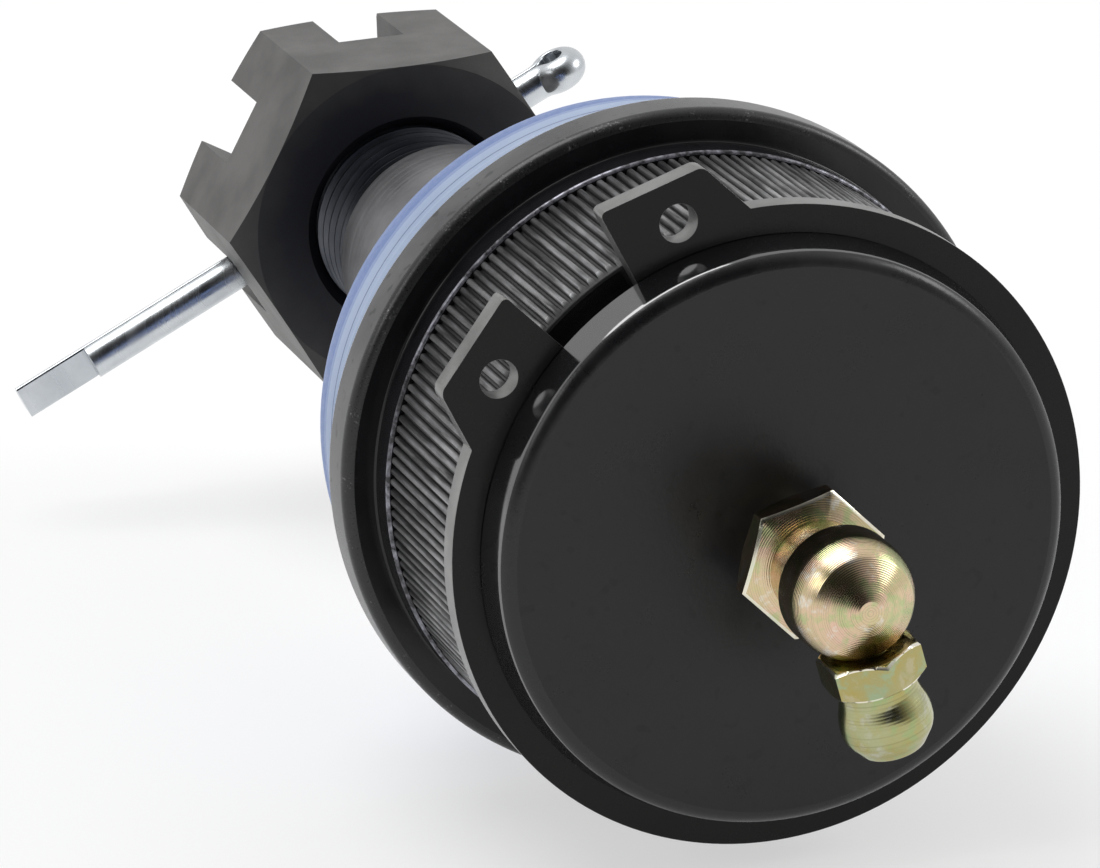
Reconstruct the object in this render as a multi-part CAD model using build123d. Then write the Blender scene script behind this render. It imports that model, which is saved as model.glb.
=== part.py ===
from build123d import *
import math
import os

# A press-in suspension ball joint, in millimetres. The ball's centre is the origin, the stud runs
# along +Y to its thread, the closed end of the socket faces -Y, and +Z is up.
os.makedirs("parts", exist_ok=True)

# Running and fitting clearances, each measured on the radius or across one face
BALL_PLAY = 0.05
LINER_PLAY = 0.05
RING_PLAY = 0.05
BOOT_PLAY = 0.05
THREAD_PLAY = 0.05
PIN_PLAY = 0.3
WIRE_PLAY = 0.05
SWING_ROOM = 0.3

# Ball stud
BALL_DIAMETER = 30.0
BALL_FLAT = 1.0
NECK_DIAMETER = 16.5
NECK_END = 20.0
SEAL_LAND_DIAMETER = 21.4
SEAL_LAND_START = 24.5
SEAL_LAND_LENGTH = 4.0
TAPER_LARGE_DIAMETER = 21.0
TAPER_LENGTH = 25.0
TAPER_RATIO = 8.0
THREAD_DIAMETER = 16.0
THREAD_RELIEF_DIAMETER = 14.2
THREAD_RELIEF_LENGTH = 1.6
THREAD_PROUD = 2.0
THREAD_CHAMFER = 1.0
SWING = 25.3

# Castle nut
NUT_SEAT = 62.0
NUT_FLATS = 26.5
NUT_HEIGHT = 16.8
NUT_SLOT_WIDTH = 5.6
NUT_SLOT_DEPTH = 7.4
NUT_COUNTERSINK = 0.9
NUT_FLAT_DIRECTION = 32.0
HEX_CHAMFER_ANGLE = 30.0
HEX_SIDES = 6

# Cotter pin: a half-round wire folded on itself, with its eye on one side and two straight legs on the other
PIN_DIRECTION = 27.5
PIN_DIAMETER = 3.0
PIN_SPLIT_GAP = 0.1
PIN_LONG_LENGTH = 34.0
PIN_SHORT_LENGTH = 27.5
PIN_EYE_RADIUS = 1.0
PIN_THROAT_RADIUS = 1.6
PIN_EYE_GAP = 3.2

# Socket, from its closed end to the swaged lip at the stud side
FACE_TO_BALL = 22.0
FLOOR_THICKNESS = 5.0
LAND_DIAMETER = 43.3
LAND_LENGTH = 3.2
FACE_ROUND = 1.4
GROOVE_DIAMETER = 40.6
KNURL_DIAMETER = 45.7
KNURL_LENGTH = 14.6
KNURL_DEPTH = 0.32
KNURL_TEETH = 180
KNURL_CREST_SHARE = 0.35
KNURL_ROOT_SHARE = 0.25
SHOULDER_DIAMETER = 46.3
SHOULDER_LENGTH = 2.4
SHOULDER_CHAMFER = 0.2
FLANGE_REACH = 2.45
FLANGE_THICKNESS = 4.1
FLANGE_ROUND = 0.8
BOOT_SEAT_DIAMETER = 41.2
SOCKET_BORE = 36.0
CLOSURE_BORE = 38.0
LIP_THICKNESS = 1.2
LIP_OVERHANG = 2.6
LIP_ROUND = 0.6

# Bearings, preload spring and closure ring inside the socket
BEARING_SPLIT = 0.4
UPPER_BEARING_TOP = 7.0
LOWER_BEARING_BASE = 14.7
LOWER_BEARING_HOLE = 15.0
CLOSURE_THICKNESS = 3.0
SPRING_THICKNESS = 1.2
SPRING_OUTER_DIAMETER = 33.0
SPRING_INNER_DIAMETER = 18.0

# Retaining ring with two plier lugs
RING_OUTER_DIAMETER = 47.4
RING_THICKNESS = 1.75
RING_GAP_DIRECTION = 127.0
RING_GAP_HALF_ANGLE = 9.0
LUG_RISE = 3.8
LUG_TIP_ANGLE = 25.8
LUG_ROOT_ANGLE = 32.7
LUG_ROUND = 0.5
LUG_HOLE_DIAMETER = 2.8
LUG_HOLE_RISE = 0.45
LUG_HOLE_ANGLE = 19.9

# Grease elbow on the closed end, with the nipple screwed into its side
ELBOW_FLATS = 9.53
ELBOW_STANDOFF = 3.2
ELBOW_HEX_HEIGHT = 2.4
ELBOW_NECK_DIAMETER = 7.0
ELBOW_NECK_LENGTH = 3.8
ELBOW_HEAD_DIAMETER = 8.96
ELBOW_DOME_CENTRE = 11.6
ELBOW_CROSS_CENTRE = 12.2
ELBOW_CONE_DIAMETER = 7.2
ELBOW_CONE_HEIGHT = 1.2
ELBOW_CAP_DIAMETER = 1.9
ELBOW_SHANK_DIAMETER = 6.0
ELBOW_SHANK_SHORT = 0.3
ELBOW_BORE = 2.6
NIPPLE_DIRECTION = -74.0
NIPPLE_SEAT = 3.9
NIPPLE_FLATS = 6.5
NIPPLE_FLAT_TURN = 30.0
NIPPLE_COLLAR_LENGTH = 2.5
NIPPLE_NECK_DIAMETER = 5.6
NIPPLE_NECK_LENGTH = 0.9
NIPPLE_HEAD_DIAMETER = 6.55
NIPPLE_HEAD_LENGTH = 4.4
NIPPLE_BELLY_START = 1.4
NIPPLE_BELLY_LENGTH = 1.5
NIPPLE_TIP_DIAMETER = 4.4
NIPPLE_TIP_ROUND = 0.5
NIPPLE_SHANK_DIAMETER = 3.4
NIPPLE_SHANK_LENGTH = 2.2
NIPPLE_BORE = 2.6
NIPPLE_ORIFICE = 1.4
NIPPLE_ORIFICE_LENGTH = 0.6
CHECK_BALL_DIAMETER = 2.0
CHECK_SPRING_WIRE = 0.3
CHECK_SPRING_PLAY = 0.15
CHECK_SPRING_TURNS = 5

# Dust boot and the two rings that hold it
BOOT_WALL = 1.8
BOOT_BASE_DIAMETER = 45.6
BOOT_BASE_LENGTH = 3.6
BOOT_BULGE_DIAMETER = 47.0
BOOT_BULGE_HEIGHT = 11.2
BOOT_BULGE_RADIUS = 7.8
BOOT_COLLAR_WALL = 2.75
BOOT_RING_WIRE = 1.6
BOOT_FLANGE_GAP = 0.15
QUARTER_TURN = 90.0

# Places along the axis that follow from the sizes above
FACE = -FACE_TO_BALL
GROOVE_NEAR = FACE + LAND_LENGTH
GROOVE_FAR = GROOVE_NEAR + RING_THICKNESS + 2 * RING_PLAY
KNURL_FAR = GROOVE_FAR + KNURL_LENGTH
FLANGE_NEAR = KNURL_FAR + SHOULDER_LENGTH
FLANGE_FAR = FLANGE_NEAR + FLANGE_THICKNESS
FLOOR = FACE + FLOOR_THICKNESS
CLOSURE_FAR = UPPER_BEARING_TOP + CLOSURE_THICKNESS
LIP_FAR = CLOSURE_FAR + LIP_THICKNESS
SEAL_LAND_END = SEAL_LAND_START + SEAL_LAND_LENGTH
TAPER_END = SEAL_LAND_END + TAPER_LENGTH
NUT_FAR = NUT_SEAT + NUT_HEIGHT
STUD_END = NUT_FAR + THREAD_PROUD
SLOT_BOTTOM = NUT_FAR - NUT_SLOT_DEPTH
PIN_AXIS = SLOT_BOTTOM + PIN_DIAMETER / 2 + PIN_PLAY
BOOT_BASE_NEAR = FLANGE_FAR + BOOT_FLANGE_GAP
BOOT_BASE_FAR = BOOT_BASE_NEAR + BOOT_BASE_LENGTH
SHOULDER_RADIUS = SHOULDER_DIAMETER / 2
FLANGE_RADIUS = SHOULDER_RADIUS + FLANGE_REACH
RING_RADIUS = RING_OUTER_DIAMETER / 2
LUG_REACH = RING_RADIUS + LUG_RISE
BOOT_COLLAR_BORE = SEAL_LAND_DIAMETER / 2 + BOOT_PLAY
BOOT_COLLAR_RADIUS = BOOT_COLLAR_BORE + BOOT_COLLAR_WALL
ELBOW_AXIS_CROSS = FACE - ELBOW_CROSS_CENTRE
NIPPLE_COLLAR_END = NIPPLE_SEAT + NIPPLE_COLLAR_LENGTH
NIPPLE_NECK_END = NIPPLE_COLLAR_END + NIPPLE_NECK_LENGTH
NIPPLE_TIP = NIPPLE_NECK_END + NIPPLE_HEAD_LENGTH
CHECK_SEAT = NIPPLE_TIP - NIPPLE_ORIFICE_LENGTH


def half(diameter):
    return diameter / 2


def polar(radius, degrees):
    return (radius * math.cos(math.radians(degrees)), radius * math.sin(math.radians(degrees)))


def turned(*outline):
    """Spin a closed outline of (radius, place along the axis) corners about the stud's axis."""
    return revolve(make_face(Polyline(*outline, close=True)), Axis.Y)


def prism(sketch, near, far):
    """Extrude a sketch, drawn as seen from the closed end, between two places along the axis."""
    seen_from_end = Plane(origin=(0, far, 0), x_dir=(1, 0, 0), z_dir=(0, -1, 0))
    return extrude(seen_from_end * sketch, far - near)


def rim(part, radius, place):
    """The round edges of a turned part at one radius and one place along the axis."""
    found = []
    for edge in part.edges().filter_by(GeomType.CIRCLE):
        centre = edge.arc_center
        on_axis = math.hypot(centre.X, centre.Z) < 1e-4
        if on_axis and abs(edge.radius - radius) < 1e-4 and abs(centre.Y - place) < 1e-4:
            found.append(edge)
    return found


def across_axis(direction):
    """A plane through the stud's axis line whose own Z points along a direction across the axis."""
    x, z = polar(1, direction)
    return Plane(origin=(0, 0, 0), x_dir=(0, 1, 0), z_dir=(x, 0, z))


def swing_radius(height):
    """The opening that the tilted neck needs at one height above the ball's centre."""
    angle = math.radians(SWING)
    return height * math.tan(angle) + half(NECK_DIAMETER) / math.cos(angle) + SWING_ROOM


def swing_cone(top):
    return turned((0, 0), (swing_radius(0), 0), (swing_radius(top), top), (0, top))


def ball_hollow():
    return Sphere(half(BALL_DIAMETER) + BALL_PLAY)


def knurl():
    """Straight teeth round the press-fit length, each one a crest, a root and two flanks."""
    crest = half(KNURL_DIAMETER)
    root = crest - KNURL_DEPTH
    pitch = 360 / KNURL_TEETH
    crest_width = KNURL_CREST_SHARE * pitch
    root_width = KNURL_ROOT_SHARE * pitch
    flank = (pitch - crest_width - root_width) / 2
    corners = []
    for tooth in range(KNURL_TEETH):
        start = tooth * pitch
        corners.append(polar(crest, start))
        corners.append(polar(crest, start + crest_width))
        corners.append(polar(root, start + crest_width + flank))
        corners.append(polar(root, start + crest_width + flank + root_width))
    teeth = make_face(Polyline(*corners, close=True))
    return prism(teeth - Circle(half(GROOVE_DIAMETER)), GROOVE_FAR, KNURL_FAR)


def housing():
    land = half(LAND_DIAMETER)
    groove = half(GROOVE_DIAMETER)
    root = half(KNURL_DIAMETER) - KNURL_DEPTH - LINER_PLAY
    boot_seat = half(BOOT_SEAT_DIAMETER)
    body = turned(
        (0, FACE),
        (land, FACE),
        (land, GROOVE_NEAR),
        (groove, GROOVE_NEAR),
        (groove, GROOVE_FAR),
        (root, GROOVE_FAR),
        (root, KNURL_FAR),
        (SHOULDER_RADIUS, KNURL_FAR),
        (SHOULDER_RADIUS, FLANGE_NEAR),
        (FLANGE_RADIUS, FLANGE_NEAR),
        (FLANGE_RADIUS, FLANGE_FAR),
        (boot_seat, FLANGE_FAR),
        (boot_seat, LIP_FAR),
        (half(CLOSURE_BORE) - LIP_OVERHANG, LIP_FAR),
        (half(CLOSURE_BORE) - LIP_OVERHANG, CLOSURE_FAR),
        (half(CLOSURE_BORE), CLOSURE_FAR),
        (half(CLOSURE_BORE), UPPER_BEARING_TOP),
        (half(SOCKET_BORE), UPPER_BEARING_TOP),
        (half(SOCKET_BORE), FLOOR),
        (0, FLOOR),
    )
    body = fillet(rim(body, land, FACE), FACE_ROUND)
    flange_edges = rim(body, FLANGE_RADIUS, FLANGE_NEAR) + rim(body, FLANGE_RADIUS, FLANGE_FAR)
    body = fillet(flange_edges, FLANGE_ROUND)
    body = fillet(rim(body, boot_seat, LIP_FAR), LIP_ROUND)
    body = chamfer(rim(body, SHOULDER_RADIUS, KNURL_FAR), SHOULDER_CHAMFER)
    fitting_hole = prism(Circle(half(ELBOW_SHANK_DIAMETER) + THREAD_PLAY), FACE, FLOOR)
    return body + knurl() - fitting_hole - swing_cone(LIP_FAR + LIP_THICKNESS)


def closure_ring():
    ring = turned(
        (swing_radius(UPPER_BEARING_TOP), UPPER_BEARING_TOP),
        (half(CLOSURE_BORE) - LINER_PLAY, UPPER_BEARING_TOP),
        (half(CLOSURE_BORE) - LINER_PLAY, CLOSURE_FAR),
        (swing_radius(CLOSURE_FAR), CLOSURE_FAR),
    )
    return ring - ball_hollow()


def upper_bearing():
    sleeve = turned(
        (0, BEARING_SPLIT),
        (half(SOCKET_BORE) - LINER_PLAY, BEARING_SPLIT),
        (half(SOCKET_BORE) - LINER_PLAY, UPPER_BEARING_TOP),
        (0, UPPER_BEARING_TOP),
    )
    return sleeve - ball_hollow() - swing_cone(UPPER_BEARING_TOP + BEARING_SPLIT)


def lower_bearing():
    cup = turned(
        (half(LOWER_BEARING_HOLE), -LOWER_BEARING_BASE),
        (half(SOCKET_BORE) - LINER_PLAY, -LOWER_BEARING_BASE),
        (half(SOCKET_BORE) - LINER_PLAY, -BEARING_SPLIT),
        (half(LOWER_BEARING_HOLE), -BEARING_SPLIT),
    )
    return cup - ball_hollow()


def preload_spring():
    """A coned disc spring: its outer edge stands on the floor, its inner edge lifts the lower bearing."""
    outer = half(SPRING_OUTER_DIAMETER)
    inner = half(SPRING_INNER_DIAMETER)
    return turned(
        (outer, FLOOR),
        (outer, FLOOR + SPRING_THICKNESS),
        (inner, -LOWER_BEARING_BASE),
        (inner, -LOWER_BEARING_BASE - SPRING_THICKNESS),
    )


def retaining_ring():
    inner = half(GROOVE_DIAMETER) + RING_PLAY
    middle = (inner + RING_RADIUS) / 2
    sketch = Circle(RING_RADIUS) - Circle(inner)
    gap_edges = [polar(LUG_REACH, RING_GAP_DIRECTION + s * RING_GAP_HALF_ANGLE) for s in (-1, 1)]
    for side in (-1, 1):
        lug = make_face(
            Polyline(
                polar(middle, RING_GAP_DIRECTION + side * RING_GAP_HALF_ANGLE),
                polar(LUG_REACH, RING_GAP_DIRECTION + side * RING_GAP_HALF_ANGLE),
                polar(LUG_REACH, RING_GAP_DIRECTION + side * LUG_TIP_ANGLE),
                polar(RING_RADIUS, RING_GAP_DIRECTION + side * LUG_ROOT_ANGLE),
                polar(middle, RING_GAP_DIRECTION + side * LUG_ROOT_ANGLE),
                close=True,
            )
        )
        sketch += lug
    sketch -= make_face(Polyline((0, 0), *gap_edges, close=True))
    tips = [v for v in sketch.vertices() if abs(math.hypot(v.X, v.Y) - LUG_REACH) < 1e-3]
    sketch = fillet(tips, LUG_ROUND)
    for side in (-1, 1):
        hole_place = polar(RING_RADIUS + LUG_HOLE_RISE, RING_GAP_DIRECTION + side * LUG_HOLE_ANGLE)
        sketch -= Pos(*hole_place) * Circle(half(LUG_HOLE_DIAMETER))
    return prism(sketch, GROOVE_NEAR + RING_PLAY, GROOVE_NEAR + RING_PLAY + RING_THICKNESS)


def hexagon(flats, direction):
    """A hexagon with one of its flats facing a direction."""
    corner_direction = direction + 180 / HEX_SIDES
    return RegularPolygon(half(flats), HEX_SIDES, major_radius=False, rotation=corner_direction)


def hex_corner(flats):
    return half(flats) / math.cos(math.pi / HEX_SIDES)


def hex_drop(flats):
    """How far the turned chamfer of a hexagon falls from its flats to its corners."""
    return (hex_corner(flats) - half(flats)) * math.tan(math.radians(HEX_CHAMFER_ANGLE))


def nipple_plane(distance):
    """A plane across the nipple, at a distance from the elbow's axis."""
    x, z = polar(1, NIPPLE_DIRECTION)
    return Plane(origin=(x * distance, ELBOW_AXIS_CROSS, z * distance), x_dir=(0, 1, 0), z_dir=(x, 0, z))


def nipple_turned(*outline):
    """Spin an outline of (radius, distance from the elbow's axis) corners about the nipple's axis."""
    local = revolve(make_face(Polyline(*[(r, 0, d) for r, d in outline], close=True)), Axis.Z)
    return nipple_plane(0) * local


def grease_elbow():
    """A turned body: threaded shank, hex, neck and a domed head, drilled from two sides."""
    shank = half(ELBOW_SHANK_DIAMETER)
    neck = half(ELBOW_NECK_DIAMETER)
    head = half(ELBOW_HEAD_DIAMETER)
    hex_near = FACE - ELBOW_STANDOFF
    hex_far = hex_near - ELBOW_HEX_HEIGHT
    head_near = hex_far - ELBOW_NECK_LENGTH
    dome_centre = FACE - ELBOW_DOME_CENTRE
    corner = hex_corner(ELBOW_FLATS)
    drop = hex_drop(ELBOW_FLATS)
    turned_down = turned(
        (0, hex_near),
        (half(ELBOW_FLATS), hex_near),
        (corner, hex_near - drop),
        (corner, hex_far + drop),
        (half(ELBOW_FLATS), hex_far),
        (0, hex_far),
    )
    base = prism(hexagon(ELBOW_FLATS, NIPPLE_DIRECTION), hex_far, hex_near) & turned_down
    stem = turned(
        (0, FLOOR - ELBOW_SHANK_SHORT),
        (shank, FLOOR - ELBOW_SHANK_SHORT),
        (shank, hex_far),
        (neck, hex_far),
        (neck, head_near),
        (head, head_near),
        (head, dome_centre),
        (0, dome_centre),
    )
    cone_near = dome_centre - math.sqrt(head**2 - half(ELBOW_CONE_DIAMETER) ** 2)
    dome = Pos(0, dome_centre, 0) * Sphere(head)
    dome &= turned(
        (0, dome_centre),
        (head, dome_centre),
        (head, cone_near),
        (half(ELBOW_CONE_DIAMETER), cone_near),
        (half(ELBOW_CAP_DIAMETER), cone_near - ELBOW_CONE_HEIGHT),
        (0, cone_near - ELBOW_CONE_HEIGHT),
    )
    bore = prism(Circle(half(ELBOW_BORE)), ELBOW_AXIS_CROSS, FLOOR)
    seat_cut = extrude(nipple_plane(NIPPLE_SEAT) * Circle(head), head)
    socket_depth = NIPPLE_SEAT - NIPPLE_SHANK_LENGTH - THREAD_PLAY
    socket = extrude(
        nipple_plane(socket_depth) * Circle(half(NIPPLE_SHANK_DIAMETER) + THREAD_PLAY), head
    )
    cross_bore = extrude(nipple_plane(0) * Circle(half(ELBOW_BORE)), head)
    return base + stem + dome - bore - seat_cut - socket - cross_bore


def grease_nipple():
    neck = half(NIPPLE_NECK_DIAMETER)
    head = half(NIPPLE_HEAD_DIAMETER)
    shank_end = NIPPLE_SEAT - NIPPLE_SHANK_LENGTH
    flats = hexagon(NIPPLE_FLATS, NIPPLE_FLAT_TURN)
    collar = extrude(nipple_plane(NIPPLE_SEAT) * flats, NIPPLE_COLLAR_LENGTH)
    corner = hex_corner(NIPPLE_FLATS)
    drop = hex_drop(NIPPLE_FLATS)
    collar &= nipple_turned(
        (0, NIPPLE_SEAT),
        (half(NIPPLE_FLATS), NIPPLE_SEAT),
        (corner, NIPPLE_SEAT + drop),
        (corner, NIPPLE_COLLAR_END - drop),
        (half(NIPPLE_FLATS), NIPPLE_COLLAR_END),
        (0, NIPPLE_COLLAR_END),
    )
    belly = NIPPLE_NECK_END + NIPPLE_BELLY_START
    stem = nipple_turned(
        (0, shank_end),
        (half(NIPPLE_SHANK_DIAMETER), shank_end),
        (half(NIPPLE_SHANK_DIAMETER), NIPPLE_SEAT),
        (neck, NIPPLE_SEAT),
        (neck, NIPPLE_NECK_END),
        (head, belly),
        (head, belly + NIPPLE_BELLY_LENGTH),
        (half(NIPPLE_TIP_DIAMETER), NIPPLE_TIP),
        (0, NIPPLE_TIP),
    )
    round_edges = stem.edges().filter_by(GeomType.CIRCLE)
    tip_edge = round_edges.filter_by(lambda edge: abs(edge.radius - half(NIPPLE_TIP_DIAMETER)) < 1e-4)
    stem = fillet(tip_edge, NIPPLE_TIP_ROUND)
    bore = nipple_turned(
        (0, shank_end),
        (half(NIPPLE_BORE), shank_end),
        (half(NIPPLE_BORE), CHECK_SEAT - half(CHECK_BALL_DIAMETER)),
        (half(NIPPLE_ORIFICE), CHECK_SEAT),
        (half(NIPPLE_ORIFICE), NIPPLE_TIP),
        (0, NIPPLE_TIP),
    )
    return collar + stem - bore


def check_ball_centre():
    """Where the check ball rests against the cone behind the orifice, with its play."""
    rise = half(CHECK_BALL_DIAMETER)
    run = half(NIPPLE_BORE) - half(NIPPLE_ORIFICE)
    slope = math.hypot(rise, run)
    apex = CHECK_SEAT + half(NIPPLE_ORIFICE) * rise / run
    return apex - (half(CHECK_BALL_DIAMETER) + BALL_PLAY) * slope / run


def check_ball():
    return nipple_plane(check_ball_centre()) * Sphere(half(CHECK_BALL_DIAMETER))


def check_spring():
    """A small coil between the check ball and the elbow's cross bore."""
    wire = half(CHECK_SPRING_WIRE)
    coil = half(NIPPLE_BORE) - wire - CHECK_SPRING_PLAY
    top = check_ball_centre() - math.sqrt((half(CHECK_BALL_DIAMETER) + wire) ** 2 - coil**2) - BALL_PLAY
    base = NIPPLE_SEAT - NIPPLE_SHANK_LENGTH + wire
    path = Helix((top - base) / CHECK_SPRING_TURNS, top - base, coil)
    section = Plane(origin=path @ 0, z_dir=path % 0) * Circle(wire)
    return nipple_plane(base) * sweep(section, path)


def dust_boot():
    """The bellows: a base on the socket, one round bulge, and a collar on the stud's seal land."""
    bulge = half(BOOT_BULGE_DIAMETER) - BOOT_BULGE_RADIUS
    inner_radius = BOOT_BULGE_RADIUS - BOOT_WALL
    base = half(BOOT_BASE_DIAMETER)
    seat = half(BOOT_SEAT_DIAMETER) + BOOT_PLAY
    collar = BOOT_COLLAR_RADIUS
    land = BOOT_COLLAR_BORE
    start = math.acos((base - bulge) / BOOT_BULGE_RADIUS)
    inside_start = math.asin((BOOT_BULGE_HEIGHT - BOOT_BASE_FAR) / inner_radius)
    low = BOOT_BULGE_HEIGHT - BOOT_BULGE_RADIUS * math.sin(start)
    top = BOOT_BULGE_HEIGHT + BOOT_BULGE_RADIUS
    centre = (bulge, BOOT_BULGE_HEIGHT)
    low_angle = math.degrees(start)
    inside_angle = math.degrees(inside_start)
    outside = CenterArc(centre, BOOT_BULGE_RADIUS, -low_angle, low_angle + QUARTER_TURN)
    inside = CenterArc(centre, inner_radius, -inside_angle, inside_angle + QUARTER_TURN)
    shoulder = Line((bulge, top), (collar, top + BOOT_WALL))
    collar_side = Line((collar, top + BOOT_WALL), (collar, SEAL_LAND_END))
    collar_top = Line((collar, SEAL_LAND_END), (land, SEAL_LAND_END))
    collar_bore = Line((land, SEAL_LAND_END), (land, SEAL_LAND_START))
    under = Line((land, SEAL_LAND_START), (collar, top))
    under_shoulder = Line((collar, top), inside @ 1)
    foot = inside @ 0
    foot_step = Line(foot, (seat, BOOT_BASE_FAR))
    foot_bore = Line((seat, BOOT_BASE_FAR), (seat, BOOT_BASE_NEAR))
    foot_face = Line((seat, BOOT_BASE_NEAR), (base, BOOT_BASE_NEAR))
    foot_side = Line((base, BOOT_BASE_NEAR), (base, low))
    outline = [outside, shoulder, collar_side, collar_top, collar_bore, under, under_shoulder, inside]
    outline += [foot_step, foot_bore, foot_face, foot_side]
    boot = revolve(make_face(outline), Axis.Y)
    return boot - ring_groove(base, base_ring_place()) - ring_groove(collar, neck_ring_place())


def base_ring_place():
    return (BOOT_BASE_NEAR + BOOT_BASE_FAR) / 2


def neck_ring_place():
    return (SEAL_LAND_START + SEAL_LAND_END) / 2


def wire_ring(radius, place, wire):
    return revolve(Pos(radius, place) * Circle(wire), Axis.Y)


def ring_groove(radius, place):
    return wire_ring(radius, place, half(BOOT_RING_WIRE) + WIRE_PLAY)


def boot_base_ring():
    return wire_ring(half(BOOT_BASE_DIAMETER), base_ring_place(), half(BOOT_RING_WIRE))


def boot_neck_ring():
    return wire_ring(BOOT_COLLAR_RADIUS, neck_ring_place(), half(BOOT_RING_WIRE))


def ball_stud():
    ball = half(BALL_DIAMETER)
    neck = half(NECK_DIAMETER)
    land = half(SEAL_LAND_DIAMETER)
    large = half(TAPER_LARGE_DIAMETER)
    small = large - TAPER_LENGTH / TAPER_RATIO / 2
    thread = half(THREAD_DIAMETER)
    relief = half(THREAD_RELIEF_DIAMETER)
    shank = turned(
        (0, 0),
        (neck, 0),
        (neck, NECK_END),
        (land, SEAL_LAND_START),
        (land, SEAL_LAND_END),
        (large, SEAL_LAND_END),
        (small, TAPER_END),
        (relief, TAPER_END),
        (relief, TAPER_END + THREAD_RELIEF_LENGTH),
        (thread, TAPER_END + THREAD_RELIEF_LENGTH + (thread - relief)),
        (thread, STUD_END - THREAD_CHAMFER),
        (thread - THREAD_CHAMFER, STUD_END),
        (0, STUD_END),
    )
    flat_cut = turned(
        (0, -ball - BALL_FLAT),
        (ball, -ball - BALL_FLAT),
        (ball, -ball + BALL_FLAT),
        (0, -ball + BALL_FLAT),
    )
    drill = Cylinder(half(PIN_DIAMETER) + PIN_PLAY, THREAD_DIAMETER * 2)
    pin_hole = across_axis(PIN_DIRECTION) * Pos(PIN_AXIS, 0, 0) * drill
    return Sphere(ball) - flat_cut + shank - pin_hole


def castle_nut():
    flats = half(NUT_FLATS)
    corner = hex_corner(NUT_FLATS)
    drop = hex_drop(NUT_FLATS)
    bore = half(THREAD_DIAMETER) + THREAD_PLAY
    turned_down = turned(
        (bore, NUT_SEAT + NUT_COUNTERSINK),
        (bore + NUT_COUNTERSINK, NUT_SEAT),
        (flats, NUT_SEAT),
        (corner, NUT_SEAT + drop),
        (corner, NUT_FAR - drop),
        (flats, NUT_FAR),
        (bore + NUT_COUNTERSINK, NUT_FAR),
        (bore, NUT_FAR - NUT_COUNTERSINK),
    )
    nut = prism(hexagon(NUT_FLATS, NUT_FLAT_DIRECTION), NUT_SEAT, NUT_FAR) & turned_down
    for side in range(HEX_SIDES):
        slot_plane = across_axis(NUT_FLAT_DIRECTION + side * 360 / HEX_SIDES)
        slot = Box(2 * NUT_SLOT_DEPTH, NUT_SLOT_WIDTH, 2 * flats)
        nut -= slot_plane * Pos(NUT_FAR, 0, flats) * slot
    return nut


def cotter_pin():
    """Half-round wire swept down one leg, round the eye and back up the other leg."""
    gap = PIN_SPLIT_GAP / 2
    throat = half(NUT_FLATS) + PIN_EYE_GAP
    # the throat arcs and the eye's arc meet where both circles touch
    spread = PIN_THROAT_RADIUS + gap
    turn = math.degrees(math.acos(spread / (PIN_THROAT_RADIUS + PIN_EYE_RADIUS)))
    eye = throat + (PIN_THROAT_RADIUS + PIN_EYE_RADIUS) * math.sin(math.radians(turn))
    long_leg = Line((-PIN_LONG_LENGTH, gap), (throat, gap))
    short_leg = Line((throat, -gap), (-PIN_SHORT_LENGTH, -gap))
    open_arc = CenterArc((throat, spread), PIN_THROAT_RADIUS, -90, turn)
    eye_arc = CenterArc((eye, 0), PIN_EYE_RADIUS, 90 + turn, -180 - 2 * turn)
    close_arc = CenterArc((throat, -spread), PIN_THROAT_RADIUS, 90 - turn, turn)
    path = Wire([long_leg, open_arc, eye_arc, close_arc, short_leg])
    wire = half(PIN_DIAMETER) - gap
    half_round = make_face([CenterArc((0, 0), wire, 0, 180), Line((-wire, 0), (wire, 0))])
    section = Plane(origin=path @ 0, x_dir=(0, 0, -1), z_dir=(1, 0, 0)) * half_round
    pin = sweep(section, path)
    x, z = polar(1, PIN_DIRECTION)
    along_pin = Plane(origin=(0, PIN_AXIS, 0), x_dir=(x, 0, z), z_dir=(-z, 0, x))
    return along_pin * pin


PIECES = {
    "housing": housing,
    "closure_ring": closure_ring,
    "upper_bearing": upper_bearing,
    "lower_bearing": lower_bearing,
    "preload_spring": preload_spring,
    "retaining_ring": retaining_ring,
    "grease_elbow": grease_elbow,
    "grease_nipple": grease_nipple,
    "check_ball": check_ball,
    "check_spring": check_spring,
    "dust_boot": dust_boot,
    "boot_base_ring": boot_base_ring,
    "boot_neck_ring": boot_neck_ring,
    "ball_stud": ball_stud,
    "castle_nut": castle_nut,
    "cotter_pin": cotter_pin,
}

for name, make in PIECES.items():
    export_step(make(), f"parts/{name}.step")
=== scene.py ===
import math

import bmesh
import bpy
from mathutils import Matrix, Vector


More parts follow.
